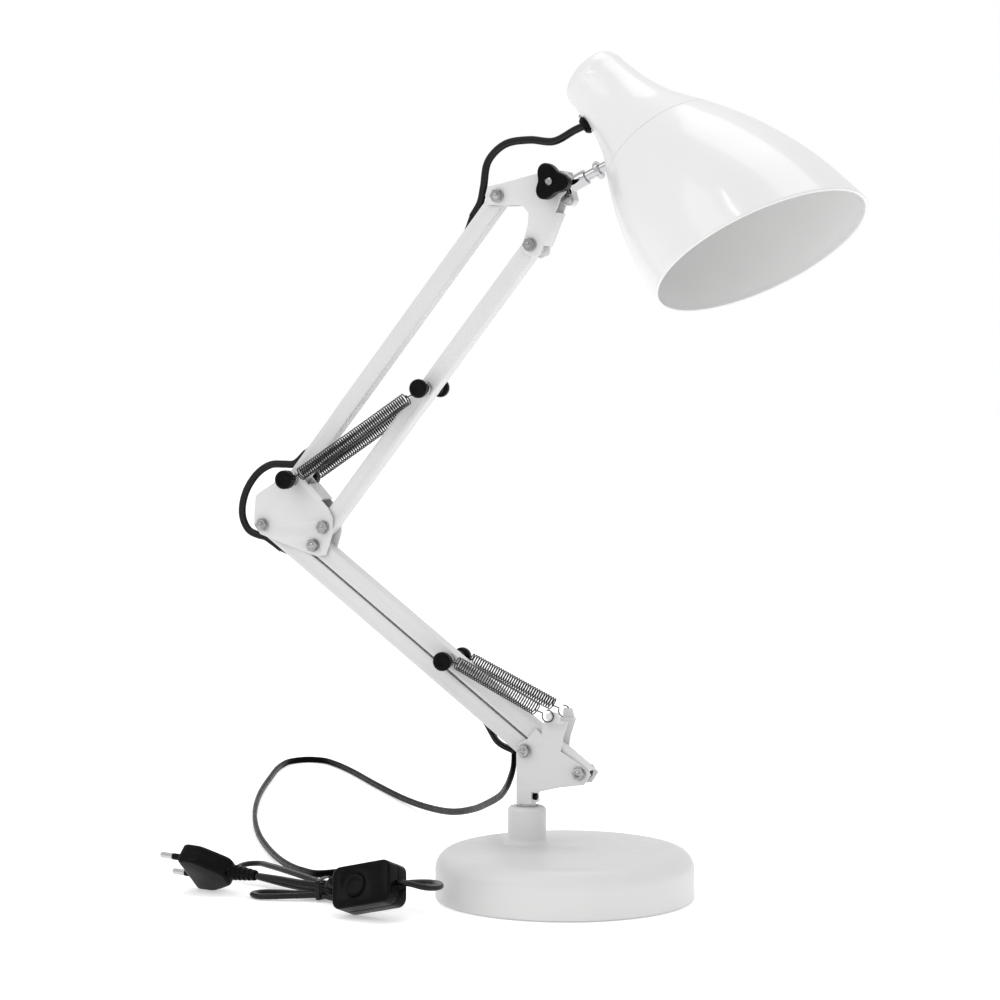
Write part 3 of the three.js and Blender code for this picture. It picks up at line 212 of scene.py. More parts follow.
FINISHES = {
    # satin powder coat of the base and the arms, with fine orange peel
    "white_paint": finish(
        "powder_white", (0.615, 0.615, 0.612), 0.42, tones=(14, (0.6, 0.6, 0.597), (0.63, 0.63, 0.627)),
        polish=(60, 0.34, 0.46), bumps=[(900, 0.12, 0.0002), (3200, 0.08, 0.0001)],
        Coat_Weight=0.12, Coat_Roughness=0.3,
    ),
    # gloss enamel
    "shade_paint": finish(
        "shade_white", (0.69, 0.69, 0.687), 0.4, tones=(9, (0.68, 0.68, 0.677), (0.7, 0.7, 0.697), 0.2, 0.8),
        polish=(40, 0.36, 0.44), bumps=[(420, 0.05, 0.0002)], Coat_Weight=0.5, Coat_Roughness=0.1,
    ),
    "cast_iron": finish(
        "cast_iron", (0.05, 0.05, 0.055), 0.7, 0.7, tones=(80, (0.03, 0.03, 0.032), (0.08, 0.075, 0.07)),
        polish=(120, 0.55, 0.85), bumps=[(700, 0.6, 0.0006)],
    ),
    "foot_pad": finish(
        "foot_felt", grey(0.5), 0.95, tones=(500, grey(0.44), grey(0.54)), bumps=[(1800, 0.8, 0.0005)],
        Sheen_Weight=0.3, Sheen_Roughness=0.6,
    ),
    "liner_plastic": finish(
        "liner", (0.6, 0.6, 0.58), 0.5, tones=(60, (0.57, 0.57, 0.55), (0.62, 0.62, 0.6)),
        bumps=[(900, 0.15, 0.0002)],
    ),
    # zinc and nickel plate of the bolts, nuts and pins
    "nickel_fastener": finish(
        "nickel", (0.33, 0.33, 0.335), 0.22, 1.0, tones=(200, (0.26, 0.26, 0.265), grey(0.4)),
        polish=(300, 0.14, 0.32), bumps=[(1600, 0.12, 0.0001)],
    ),
    "chrome": finish(
        "chrome_plate", (0.5, 0.5, 0.51), 0.09, 1.0, polish=(90, 0.05, 0.14), bumps=[(300, 0.03, 0.0002)],
    ),
    "spring_steel": finish(
        "spring_wire", (0.035, 0.035, 0.037), 0.3, 0.7, tones=(300, (0.02, 0.02, 0.021), (0.06, 0.06, 0.062)),
        polish=(500, 0.24, 0.42), Specular_IOR_Level=0.35,
    ),
    # moulded plastic with a fine grain
    "black_knob": finish(
        "knob_black", grey(0.002), 0.28, tones=(120, grey(0.002), grey(0.004)), polish=(200, 0.22, 0.38),
        bumps=[(2200, 0.25, 0.0002)], Specular_IOR_Level=0.07,
    ),
    "black_cord": cord_black(0.25),
    # smoother plastic of the switch and the plug
    "black_case": finish(
        "case_black", grey(0.002), 0.2, tones=(70, grey(0.002), grey(0.004)), polish=(130, 0.15, 0.28),
        bumps=[(1500, 0.12, 0.0002)], Specular_IOR_Level=0.07,
    ),
    "holder_plastic": finish(
        "holder_black", grey(0.012), 0.45, tones=(100, grey(0.009), grey(0.016)), bumps=[(1000, 0.2, 0.0002)],
        Specular_IOR_Level=0.3,
    ),
}
BRASS = finish(
    "brass", (0.55, 0.38, 0.14), 0.28, 1.0, tones=(150, (0.48, 0.32, 0.11), (0.62, 0.44, 0.18)),
    polish=(250, 0.2, 0.4),
)
DULL_CORD = cord_black(0.015)
PAPER = finish(
    "paper_floor", grey(0.9), 0.9, bumps=[(30, 0.02, 0.001)], Specular_IOR_Level=0.1,
    Emission_Color=WHITE, Emission_Strength=0.38,
)


# ---- mesh tools
SMOOTH_ANGLE = math.radians(38)
WELD = 1e-7
NEAR_ZERO = 1e-6


def smooth(mesh):
    """Smooth shading with the sharp edges kept."""
    mesh.shade_smooth()
    mesh.set_sharp_from_angle(angle=SMOOTH_ANGLE)


def piece(name, verts, faces, slot, body=None, replaces=(), look=None):
    """A mesh object from points in millimetres, given its slot, its finish and what it stands for."""
    mesh = bpy.data.meshes.new(name)
    mesh.from_pydata([Vector(v) * MM for v in verts], [], faces)
    work = bmesh.new()
    work.from_mesh(mesh)
    bmesh.ops.remove_doubles(work, verts=work.verts, dist=WELD)
    bmesh.ops.recalc_face_normals(work, faces=work.faces)
    work.to_mesh(mesh)
    work.free()
    return dress(name, mesh, slot, body, replaces, look)


def dress(name, mesh, slot, body=None, replaces=(), look=None):
    """An object of the mesh; look takes the place of the slot's own finish."""
    mesh.materials.clear()
    mesh.materials.append(look or FINISHES[slot])
    smooth(mesh)
    obj = add_object(name, mesh)
    if replaces:
        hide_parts(*replaces)
    if body:
        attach(obj, body)
    return obj


def rings_to_faces(count, sides, closed=False):
    faces = []
    for ring in range(count if closed else count - 1):
        a = ring * sides
        b = ((ring + 1) % count) * sides
        for i in range(sides):
            j = (i + 1) % sides
            faces.append((a + i, a + j, b + j, b + i))
    return faces


def capped(count, sides):
    """Faces of a row of rings, with a face over each end."""
    last = (count - 1) * sides
    ends = [tuple(range(sides))[::-1], tuple(last + i for i in range(sides))]
    return rings_to_faces(count, sides) + ends


def arc(cx, cz, radius, start, end, steps):
    return [
        (cx + radius * math.cos(math.radians(start + (end - start) * i / steps)),
         cz + radius * math.sin(math.radians(start + (end - start) * i / steps)))
        for i in range(steps + 1)
    ]


def curved_corner(start, corner, end, steps):
    ts = (i / steps for i in range(steps + 1))
    return [(1 - t) ** 2 * start + 2 * t * (1 - t) * corner + t * t * end for t in ts]


def soften(profile, radius, steps=3):
    """The same open profile with every inner corner rounded by up to the radius."""
    longest = 0.45
    points = [Vector(p) for p in profile]
    result = [points[0]]
    for before, corner, after in zip(points, points[1:], points[2:]):
        into = before - corner
        out = after - corner
        reach = min(radius, into.length * longest, out.length * longest)
        result += curved_corner(
            corner + into.normalized() * reach, corner, corner + out.normalized() * reach, steps)
    result.append(points[-1])
    return result


def axes_for(direction):
    direction = direction.normalized()
    guide = Y_AXIS if abs(direction.y) < 0.9 else Z_AXIS
    side = direction.cross(guide).normalized()
    return side, direction.cross(side)


def lathe(profile, origin, direction, sides=48, closed=False):
    """Points and faces of a profile of (radius, distance) turned about an axis."""
    side, up = axes_for(direction)
    direction = direction.normalized()
    verts = []
    for radius, distance in profile:
        for i in range(sides):
            angle = 2 * math.pi * i / sides
            offset = side * math.cos(angle) + up * math.sin(angle)
            verts.append(origin + direction * distance + offset * radius)
    return verts, rings_to_faces(len(profile), sides, closed)


def turned(profile, origin, sign, sides):
    """A profile turned about the Y axis, on the side given by sign."""
    return lathe([(radius, sign * y) for radius, y in profile], origin, Y_AXIS, sides)


def ring_of(radius, outer, low, high, rounding=0.3):
    """Closed profile of a flat ring with rounded outer corners."""
    profile = soften([(radius, low), (outer, low), (outer, high), (radius, high)], rounding, 2)
    return [*profile, profile[0]]


def merge(*parts):
    verts, faces = [], []
    for part_verts, part_faces in parts:
        base = len(verts)
        verts.extend(part_verts)
        faces.extend(tuple(base + i for i in face) for face in part_faces)
    return verts, faces


def prism(outline, low, high, bevel, steps, axes):
    """A solid with a rounded rim from a flat outline of 2D points, between two heights."""
    x_axis, y_axis, z_axis, origin = axes
    middle = sum((Vector(p) for p in outline), Vector((0, 0))) / len(outline)
    rings = []
    for end, sign in ((low, 1), (high, -1)):
        layer = []
        for i in range(steps + 1):
            angle = math.pi / 2 * i / steps
            inset = bevel * (1 - math.sin(angle))
            height = end + sign * bevel * (1 - math.cos(angle))
            layer.append((inset, height))
        rings.extend(layer if sign > 0 else reversed(layer))
    verts = []
    for inset, height in rings:
        for point in outline:
            flat = Vector(point) - middle
            flat = middle + flat * max(0.0, 1 - inset / max(flat.length, NEAR_ZERO))
            verts.append(origin + x_axis * flat.x + y_axis * flat.y + z_axis * height)
    return verts, capped(len(rings), len(outline))


def smooth_path(points, spacing):
    """Evenly spaced points on the centripetal Catmull-Rom curve through the given ones."""
    finer = 3
    points = [Vector(p) for p in points]
    ends = [points[0] * 2 - points[1], *points, points[-1] * 2 - points[-2]]
    dense = []
    for p0, p1, p2, p3 in zip(ends, ends[1:], ends[2:], ends[3:]):
        t0 = 0.0
        t1 = t0 + math.sqrt((p1 - p0).length)
        t2 = t1 + math.sqrt((p2 - p1).length)
        t3 = t2 + math.sqrt((p3 - p2).length)
        count = max(4, int((p2 - p1).length / spacing * finer))
        for i in range(count):
            t = t1 + (t2 - t1) * i / count
            a1 = p0 * ((t1 - t) / (t1 - t0)) + p1 * ((t - t0) / (t1 - t0))
            a2 = p1 * ((t2 - t) / (t2 - t1)) + p2 * ((t - t1) / (t2 - t1))
            a3 = p2 * ((t3 - t) / (t3 - t2)) + p3 * ((t - t2) / (t3 - t2))
            b1 = a1 * ((t2 - t) / (t2 - t0)) + a2 * ((t - t0) / (t2 - t0))
            b2 = a2 * ((t3 - t) / (t3 - t1)) + a3 * ((t - t1) / (t3 - t1))
            dense.append(b1 * ((t2 - t) / (t2 - t1)) + b2 * ((t - t1) / (t2 - t1)))
    dense.append(points[-1])
    return resample(dense, spacing)


def resample(dense, spacing):
    lengths = [0.0]
    for a, b in zip(dense, dense[1:]):
        lengths.append(lengths[-1] + (b - a).length)
    count = max(2, round(lengths[-1] / spacing))
    result = []
    k = 0
    for i in range(count + 1):
        target = lengths[-1] * i / count
        while k < len(lengths) - 2 and lengths[k + 1] < target:
            k += 1
        span = max(lengths[k + 1] - lengths[k], NEAR_ZERO)
        result.append(dense[k].lerp(dense[k + 1], (target - lengths[k]) / span))
    return result


def sweep(points, section, first_side, level=0.0, upright=False):
    """Points and faces of a section carried along a path; level pulls its wide side flat or upright."""
    least_level = 0.4
    side = Vector(first_side)
    verts = []
    for i, point in enumerate(points):
        ahead = points[min(i + 1, len(points) - 1)]
        behind = points[max(i - 1, 0)]
        tangent = (ahead - behind).normalized()
        side = (side - tangent * side.dot(tangent)).normalized()
        flat = tangent.cross(Z_AXIS)
        if level and flat.length > least_level:
            flat.normalize()
            wanted = tangent.cross(flat) if upright else flat
            side = side.lerp(wanted if wanted.dot(side) > 0 else -wanted, level)
            side = (side - tangent * side.dot(tangent)).normalized()
        up = tangent.cross(side)
        verts.extend(point + side * a + up * b for a, b in section)
    return verts, capped(len(points), len(section))


def circle(radius, sides):
    return arc(0, 0, radius, 0, 360, sides)[:-1]


CORD_DIAMETER = 5.0
CORD_LOBE = 1.75


def twin_section():
    """Outline of a twin flat cable: two round cores side by side with a shallow groove."""
    groove_share = 0.72
    offset = CORD_DIAMETER / 2 - CORD_LOBE
    points = []
    for centre_x, first in ((offset, -70), (-offset, 110)):
        for i in range(8):
            angle = math.radians(first + 140 * i / 7)
            points.append((centre_x + CORD_LOBE * math.cos(angle), CORD_LOBE * math.sin(angle)))
    groove = CORD_LOBE * groove_share
    return [*points[:8], (0, groove), *points[8:], (0, -groove)]


TWIN = twin_section()


# ---- cords: routes as in the CAD part
FLOOR = 2.8
POWER_CORD = [
    (-52.6, 33, 65.8), (-60, 45, 59.5), (-72, 65, 51.5), (-100, 107, 38), (-129, 150, 26), (-163, 193, 15.5),
    (-203, 243, 8), (-249, 297, 3.8), (-304, 360.4, FLOOR), (-356, 421, FLOOR), (-385, 451, FLOOR),
    (-403, 465, FLOOR), (-418, 465, FLOOR), (-426, 451, FLOOR), (-422, 424, FLOOR), (-398.6, 359.5, FLOOR),
    (-363.8, 274.5, FLOOR), (-324, 192.3, FLOOR), (-281.9, 118.9, FLOOR), (-243.7, 62.5, 3.2), (-213, 20.5, 5),
    (-190.3, -7.7, 7), (-172, -28, 9.2), (-154, -45, 11.5), (-140.5, -51.6, 14), (-134, -54, 15.4),
    (-128, -59, 16.8), (-124, -69, 17.6), (-122.6, -80, 17.2), (-122.3, -90, 15.6), (-119.6, -98.4, 14),
    (-114, -103.8, 13.2), (-107.2, -106, 13.7),
]
TIE_X = -137
TIE_Y = -68
TIE_NEAR = 2.9
TIE_FAR = 5.9
TIE_LOW = 4.7
TIE_HIGH = 10.3
LEAD = [
    (-64.6, -111, 24.1), (-56.5, -111.6, 23.8), (-49.8, -108.4, 21.8), (-46.2, -100.5, 20.2),
    (-46.6, -90.5, 19.6), (-52.4, -82, 19.4), (-62, -76, 18.4), (-74, -70.5, 16.4), (-86, -65, 13.8),
    (-101, -60.5, 11.4), (-119, -61.2, 10.2), (TIE_X, TIE_Y + TIE_NEAR, TIE_HIGH), (-156, -55, 11),
    (-178, -41, 11.4), (-198, -27, 11), (-209, -19.5, 10.4), (-217.5, -21, 9.6), (-219, -29.5, 8.6),
    (-211, -36.5, 7.6), (-192, -43.5, 6), (-165, -53, 4.6), (TIE_X, TIE_Y + TIE_FAR, TIE_LOW),
    (-122, -61.2, 3.6), (-110, -60, 3), (-101, -62.5, 3), (-98, -68.5, 3), (-101, -75, 3), (-110, -77.5, 3),
    (-122, -76, 3.6), (TIE_X, TIE_Y - TIE_FAR, TIE_LOW), (-152, -77.5, 4), (-166, -82.5, 3.4),
    (-175.5, -83.5, 3), (-182, -78.5, 3), (-180, -71, 3), (-171, -68.2, 3.2), (-156, -68.8, 3.8),
    (TIE_X, TIE_Y, TIE_LOW), (-124, -68.5, 6.6), (-112, -68.3, 8.9), (-98, -69.5, 9), (-90, -73.5, 9),
    (-88.5, -80.5, 9), (-95, -85, 9), (-106, -84.5, 9), (-121, -77.5, 9.6), (TIE_X, TIE_Y - TIE_NEAR, TIE_HIGH),
    (-150, -74.8, 11.4), (-164, -79.4, 13.6), (-178.9, -79, 14.4),
]
BASE_LOOP = [arm(-10.8, 90, 4.3), arm(-14, 79, 11)]


def bar_point(start, along, u, v):
    """A point of a bar: u along it, v to the right of its run."""
    return start + along * u + Vector((along.z, 0, -along.x)) * v


def lower_bar(u, v):
    return bar_point(BASE_LEFT, LOWER_ALONG, u, v)


def upper_bar(u, v):
    return bar_point(ELBOW_UPPER_LEFT, UPPER_ALONG, u, v)


def settle(points):
    """Lowers the stretches near the table by half of what the flat cable is thinner than it is wide."""
    lifted, blend_height = 12, 8
    drop = CORD_DIAMETER / 2 - CORD_LOBE
    return [(x, y, z - drop * max(0.0, min(1.0, (lifted - z) / blend_height))) for x, y, z in points]


def cable(name, path, first_side, replaces, level=0.0, upright=False, look=None):
    verts, faces = sweep(path, TWIN, first_side, level, upright)
    return piece(name, verts, faces, "black_cord", replaces=[replaces], look=look)


BAR_STEP, LOOP_STEP, LEAD_STEP, TABLE_STEP = 3, 2, 2.5, 4


def arm_cables():
    """The cable along the arm: two stretches in the bars and loops at the elbow and the head."""
    loop_side = Vector((0.6, 0, 0.8))
    in_lower = smooth_path([
        lower_bar(27, -8), lower_bar(34, -5.2), lower_bar(43, -3.1), lower_bar(56, -2.6),
        lower_bar(188, -2.6), lower_bar(203, -3.4), lower_bar(217, -7),
    ], BAR_STEP)
    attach(cable("lower_arm_cable", in_lower, Y_AXIS, "lower_cable"), "lower_left_arm")
    in_upper = smooth_path([
        upper_bar(17, -5.9), upper_bar(28, -4), upper_bar(42, -2.6), upper_bar(185, -2.6),
        upper_bar(198, -4.2), upper_bar(211.5, -8.2),
    ], BAR_STEP)
    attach(cable("upper_arm_cable", in_upper, Y_AXIS, "upper_cable"), "upper_left_arm")

    elbow = smooth_path([
        lower_bar(216.4, -6.8), arm(-183.3, 221.2), arm(-188, 223.9), arm(-193.2, 225), arm(-200.2, 228),
        arm(-204.6, 235.5), arm(-205.1, 244), arm(-201.5, 255.5), arm(-193, 266.5), arm(-183.5, 271.9),
        arm(-173.5, 272.4), arm(-166.2, 272.8), upper_bar(17.6, -5.8),
    ], LOOP_STEP)
    middle = len(elbow) // 2
    halves = (
        ("elbow_cable_low", elbow[: middle + 1], "lower_left_arm", "elbow"),
        ("elbow_cable_high", elbow[middle:], "elbow", "upper_left_arm"),
    )
    for name, path, first, second in halves:
        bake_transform(cable(name, path, loop_side, "elbow_cable_loop"))

    grommet = centre("cord_grommet")
    head = smooth_path([
        upper_bar(211, -8.1), arm(-32.6, 441.6), arm(-30.2, 451.8), arm(-27, 468), arm(-15.6, 478.4),
        arm(1.6, 480.8, -0.5), arm(18.7, 479.4, -1.2), grommet + Vector((-8, 0, -3.2)), grommet,
    ], LOOP_STEP)
    cuts = (0, len(head) * 9 // 20, len(head) * 7 // 10, len(head) - 1)
    for i, name in enumerate(("head_cable_low", "head_cable_middle", "head_cable_high")):
        path = head[cuts[i]: cuts[i + 1] + 1]
        obj = cable(name, path, loop_side, "head_cable_loop")
        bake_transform(obj)


def loose_cords():
    """The cord from the arm over the table to the switch, and the folded lead from there to the plug."""
    loop = smooth_path([lower_bar(27.6, -7.8), lower_bar(19, -10.4), BASE_LOOP[0]], LOOP_STEP)
    obj = cable("base_cable", loop, Y_AXIS, "base_cable_loop")
    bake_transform(obj)

    path = smooth_path([*BASE_LOOP, *POWER_CORD], TABLE_STEP)
    table = cable("table_cord", path, Z_AXIS, "power_cord", 0.1, upright=True, look=DULL_CORD)
    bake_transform(table)
    lead_path = smooth_path(settle(LEAD), LEAD_STEP)
    lead = cable("plug_lead", lead_path, Y_AXIS, "cord_hank", 0.08)
    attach(lead, "base")
    return (table, path), (lead, lead_path)


arm_cables()
table_cord, plug_lead = loose_cords()


# ---- copies of folded steel with rounded edges
SAME_PLACE = 2e-6
SAME_PLANE = math.radians(2)
BEVEL_FROM = math.radians(40)


def clean_copy(node):
    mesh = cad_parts[node].data.copy()
    work = bmesh.new()
    work.from_mesh(mesh)
    bmesh.ops.remove_doubles(work, verts=work.verts, dist=SAME_PLACE)
    bmesh.ops.dissolve_limit(work, angle_limit=SAME_PLANE, verts=work.verts, edges=work.edges)
    bmesh.ops.recalc_face_normals(work, faces=work.faces)
    work.to_mesh(mesh)
    work.free()
    return mesh


def apply_modifiers(obj):
    bpy.context.view_layer.update()
    evaluated = obj.evaluated_get(bpy.context.evaluated_depsgraph_get())
    result = bpy.data.meshes.new_from_object(evaluated)
    old = obj.data
    obj.modifiers.clear()
    obj.data = result
    bpy.data.meshes.remove(old)
    smooth(result)


def carve(obj, *tools):
    """Joins or cuts the object with each (operation, tool), and removes the tools."""
    for operation, tool in tools:
        boolean = obj.modifiers.new("carve", "BOOLEAN")
        boolean.operation = operation
        boolean.solver = "EXACT"
        boolean.object = tool
    apply_modifiers(obj)
    for _, tool in tools:
        bpy.data.objects.remove(tool)


def folded_steel(name, node, body, slot="white_paint", width=0.35, segments=2):
    """The CAD piece with its sharp edges rounded, as bent and painted sheet has them."""
    obj = dress(name, clean_copy(node), slot)
    bevel = obj.modifiers.new("edges", "BEVEL")
    bevel.width = width * MM
    bevel.segments = segments
    bevel.limit_method = "ANGLE"
    bevel.angle_limit = BEVEL_FROM
    bevel.use_clamp_overlap = True
    apply_modifiers(obj)
    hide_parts(node)
    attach(obj, body)


STEEL = (
    ("base_fork", "base_bracket", "turntable"),
    ("lower_left_channel", "lower_left_bar", "lower_left_arm"),
    ("lower_right_channel", "lower_right_bar", "lower_right_arm"),
    ("elbow_plates", "elbow_bracket", "elbow"),
    ("upper_left_channel", "upper_left_bar", "upper_left_arm"),
    ("upper_right_channel", "upper_right_bar", "upper_right_arm"),
    ("head_plates", "head_bracket", "head"),
)
for steel in STEEL:
    folded_steel(*steel)
folded_steel("clamp_block", "swivel_block", "tilt_clamp", "chrome", 0.5, 3)


# ---- base
BASE_WALL = 2.0
BASE_SHOULDER = 19.0
BASE_FILLET = 12.0
BASE_DOME = 1.5
RIM_BOTTOM, RIM_CHAMFER = 1.0, 0.4
POST_RADIUS, POST_FOOT_FILLET, POST_LIP = 12.4, 4.5, 3
BORE_RADIUS, MOUTH_RADIUS, MOUTH_DEPTH = 9.8, 7.2, 4


def base_skin(radius, inset):
    """Profile of the cover's outside, or of its inside when inset by the wall."""
    corner = BASE_FILLET - inset
    flat = radius - inset - corner
    crown = [
        (flat * (1 - i / 8), BASE_SHOULDER + corner + BASE_DOME * (1 - (1 - i / 8) ** 2)) for i in range(1, 9)
    ]
    return [*arc(flat, BASE_SHOULDER, corner, 0, 90, 10), *crown]


def base():
    low, high = corners("base_cover")
    radius, top = (high.x - low.x) / 2, high.z
    inner = radius - BASE_WALL
    rim = [
        (inner, RIM_BOTTOM + RIM_CHAMFER), (inner + RIM_CHAMFER, RIM_BOTTOM),
        (radius - RIM_CHAMFER, RIM_BOTTOM), (radius, RIM_BOTTOM + RIM_CHAMFER),
    ]
    profile = [*reversed(base_skin(radius, BASE_WALL)), *rim, *base_skin(radius, 0)]
    shell = piece("base_shell", *lathe(profile, CENTRE, Z_AXIS, 128), "white_paint")
    deck = BASE_SHOULDER + BASE_FILLET
    post_profile = [
        (0, deck - 0.4), (17.2, deck - 0.4),
        *arc(POST_RADIUS + POST_FOOT_FILLET, deck + 5.1, POST_FOOT_FILLET, -90, -180, 8),
        *arc(POST_RADIUS - POST_LIP, top - POST_LIP, POST_LIP, 0, 90, 8), (0, top),
    ]
    post = piece("post", *lathe(post_profile, POST_FOOT, Z_AXIS, 96), "white_paint")
    bore_profile = [
        (0, 20), (BORE_RADIUS, 20), (BORE_RADIUS, top - MOUTH_DEPTH), (MOUTH_RADIUS, top - MOUTH_DEPTH),
        (MOUTH_RADIUS, top - 0.6), (8, top + 0.3), (0, top + 0.3),
    ]
    bore = piece("bore", *lathe(bore_profile, POST_FOOT, Z_AXIS, 96), "white_paint")
    carve(shell, ("UNION", post), ("DIFFERENCE", bore))
    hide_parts("base_cover")
    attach(shell, "base")

    low, high = corners("base_pad")
    pad_radius = (high.x - low.x) / 2
    pad = soften([(0, 0), (pad_radius, 0), (pad_radius, high.z), (0, high.z)], 0.6)
    piece("felt_pad", *lathe(pad, CENTRE, Z_AXIS, 96), "foot_pad", "base", ["base_pad"])
    bush = soften([(0, 3.4), (9.5, 3.4), (9.5, 51.6), (6.1, 51.6), (6.1, 6), (0, 6)], 0.4)
    piece("post_liner", *lathe(bush, POST_FOOT, Z_AXIS, 48), "liner_plastic", "base", ["post_bush"])


base()


# ---- bolts, pins and knobs
HEX_SIDES = 24
NUT_CHAMFER = 0.5
NUT_END_SHARE = 0.86
PLATE_FACE = 7.7
WASHER_FACE = 8.5
NUT_FACE = 11.1


def hex_share(angle):
    """How far a hexagon reaches at an angle, as a share of its corners' reach."""
    return math.cos(math.radians(30)) / math.cos((angle % math.radians(60)) - math.radians(30))


def hex_faces(count):
    last = (count - 1) * HEX_SIDES
    return [*rings_to_faces(count, HEX_SIDES), tuple(range(HEX_SIDES)), tuple(last + i for i in range(HEX_SIDES))]


def hexagon(origin, radius, low, high, sign):
    """A chamfered hexagon nut about the Y axis, from low to high on the side given by sign."""
    verts = []
    for height, size in ((low, 1), (high - NUT_CHAMFER, 1), (high, NUT_END_SHARE)):
        for i in range(HEX_SIDES):
            angle = 2 * math.pi * i / HEX_SIDES
            reach = radius * min(hex_share(angle), size)
            verts.append(origin + Vector((reach * math.cos(angle), sign * height, reach * math.sin(angle))))
    return verts, hex_faces(3)


def nut_stack(origin, sign):
    """A pressed washer, a chamfered nut and the bolt's domed end, outside one plate."""
    dome = [(0, 10.9), (2.5, 10.9), (2.5, 11.2), *arc(0, 9.1, 3.1, 43, 90, 5)]
    return [
        turned(ring_of(2.4, 4.4, PLATE_FACE, WASHER_FACE, 0.25), origin, sign, 32),
        hexagon(origin, 4.1, WASHER_FACE, NUT_FACE, sign),
        turned(dome, origin, sign, 24),
    ]


def pivot_bolt(name, node, body):
    """Shank, two pressed washers, two chamfered nuts and the bolt's domed ends."""
    origin = centre(node)
    parts = [lathe([(0, -8), (2.5, -8), (2.5, 8), (0, 8)], origin, Y_AXIS, 24)]
    for sign in (-1, 1):
        parts += nut_stack(origin, sign)
    piece(name, *merge(*parts), "nickel_fastener", body, [node])


BOLTS = (
    ("base", "turntable", ("left", "right")),
    ("elbow", "elbow", ("lower_left", "lower_right", "upper_right")),
    ("head", "head", ("left", "right")),
)
for place, body_name, places in BOLTS:
    for side_name in places:
        pivot_bolt(f"{place}_pivot_{side_name}", f"{place}_bolt_{side_name}", body_name)


def threaded(radius, start, end, pitch=0.8, depth=0.16):
    """A ribbed profile for a threaded stretch."""
    profile = []
    at = start
    while at < end:
        profile += [(radius, at), (radius - depth, at + pitch / 2)]
        at += pitch
    return [*profile, (radius, end)]


def pin(name, node, body, collar, collar_end):
    """A spring pin: a collar on each side of what it passes through, and threaded ends."""
    origin = centre(node)
    low, high = corners(node)
    end = (high.y - low.y) / 2
    shank = [(0, -end), (2.3, -end), (2.5, -end + 0.3), (2.5, end - 0.3), (2.3, end), (0, end)]
    parts = [lathe(shank, origin, Y_AXIS, 24)]
    for sign in (-1, 1):
        parts.append(hexagon(origin, 4.6, collar, collar_end, sign))
        thread = [(2.1, collar_end), *threaded(2.5, collar_end, end - 0.6), (2.1, end - 0.6)]
        parts.append(turned(thread, origin, sign, 24))
    piece(name, *merge(*parts), "nickel_fastener", body, [node])


pin("lower_pin", "lower_spring_pin", "lower_right_arm", 5.3, 8.6)
pin("elbow_pin", "elbow_spring_pin", "elbow", 7.7, 10.6)
pin("upper_pin", "upper_spring_pin", "upper_right_arm", 5.3, 9.4)


GRIP_FROM, GRIP_DEPTH, GRIP_RIBS = 5.6, 0.13, 24


def round_knob(name, node, body, pin_node):
    """A turned plastic knob with a shallow dish in its face and fine grip ribs round it."""
    low, high = corners(node)
    origin = centre(pin_node)
    side = 1 if centre(node).y > origin.y else -1
    near = min(abs(low.y - origin.y), abs(high.y - origin.y))
    far = max(abs(low.y - origin.y), abs(high.y - origin.y))
    profile = soften([
        (2.8, near + 3), (2.8, near), (4.6, near), (6.2, near + 1.6), (6.2, far - 1), (4.9, far), (3.4, far),
        (2.9, far - 0.7), (0, far - 0.9),
    ], 0.45)
    verts, faces = turned(profile, origin, side, 72)
    ribbed = []
    for vert in verts:
        flat = Vector((vert.x - origin.x, 0, vert.z - origin.z))
        if flat.length > GRIP_FROM:
            angle = math.atan2(flat.z, flat.x)
            vert = vert - flat.normalized() * GRIP_DEPTH * (1 - math.cos(GRIP_RIBS * angle))
        ribbed.append(vert)
    piece(name, ribbed, faces, "black_knob", body, [node])


for side_name in ("front", "rear"):
    for place, body_name in (("lower", "lower_right_arm"), ("elbow", "elbow"), ("upper", "upper_right_arm")):
        round_knob(f"{place}_grip_{side_name}", f"{place}_knob_{side_name}", body_name, f"{place}_spring_pin")


# ---- springs
SPRING_RADIUS = 4.1
WIRE = 0.42
WIRE_SIDES = 6
PITCH = 1.72
TURN_STEPS = 16
EYE_RADIUS = 3.8
EYE_TURN = math.radians(-310)
EYE_STEPS = 20


def spring_eye(middle, toward):
    """A round eye of the wire, with its end on the side of the coil."""
    to_coil = (toward - middle).normalized()
    across = Y_AXIS.cross(to_coil)
    angles = (EYE_TURN * (1 - i / EYE_STEPS) for i in range(EYE_STEPS + 1))
    return [middle + (to_coil * math.cos(a) + across * math.sin(a)) * EYE_RADIUS for a in angles]


def coil_spring(name, node, start, end, start_eye, end_eye):
    """One wire: a round eye, a close-wound coil that widens from its ends, and another round eye."""
    side, up = axes_for((end - start).normalized())
    turns = (end - start).length / PITCH
    path = spring_eye(start_eye, start)
    steps = int(turns * TURN_STEPS)
    for i in range(steps + 1):
        share = i / steps
        angle = 2 * math.pi * turns * share
        grow = min(1.0, i / 10 + 0.15, (steps - i) / 10 + 0.15)
        radial = (side * math.cos(angle) + up * math.sin(angle)) * SPRING_RADIUS * grow
        path.append(start.lerp(end, share) + radial)
    path += reversed(spring_eye(end_eye, end))
    verts, faces = sweep(path, circle(WIRE, WIRE_SIDES), Y_AXIS)
    coil = piece(name, verts, faces, "spring_steel", replaces=[node])
    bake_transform(coil)


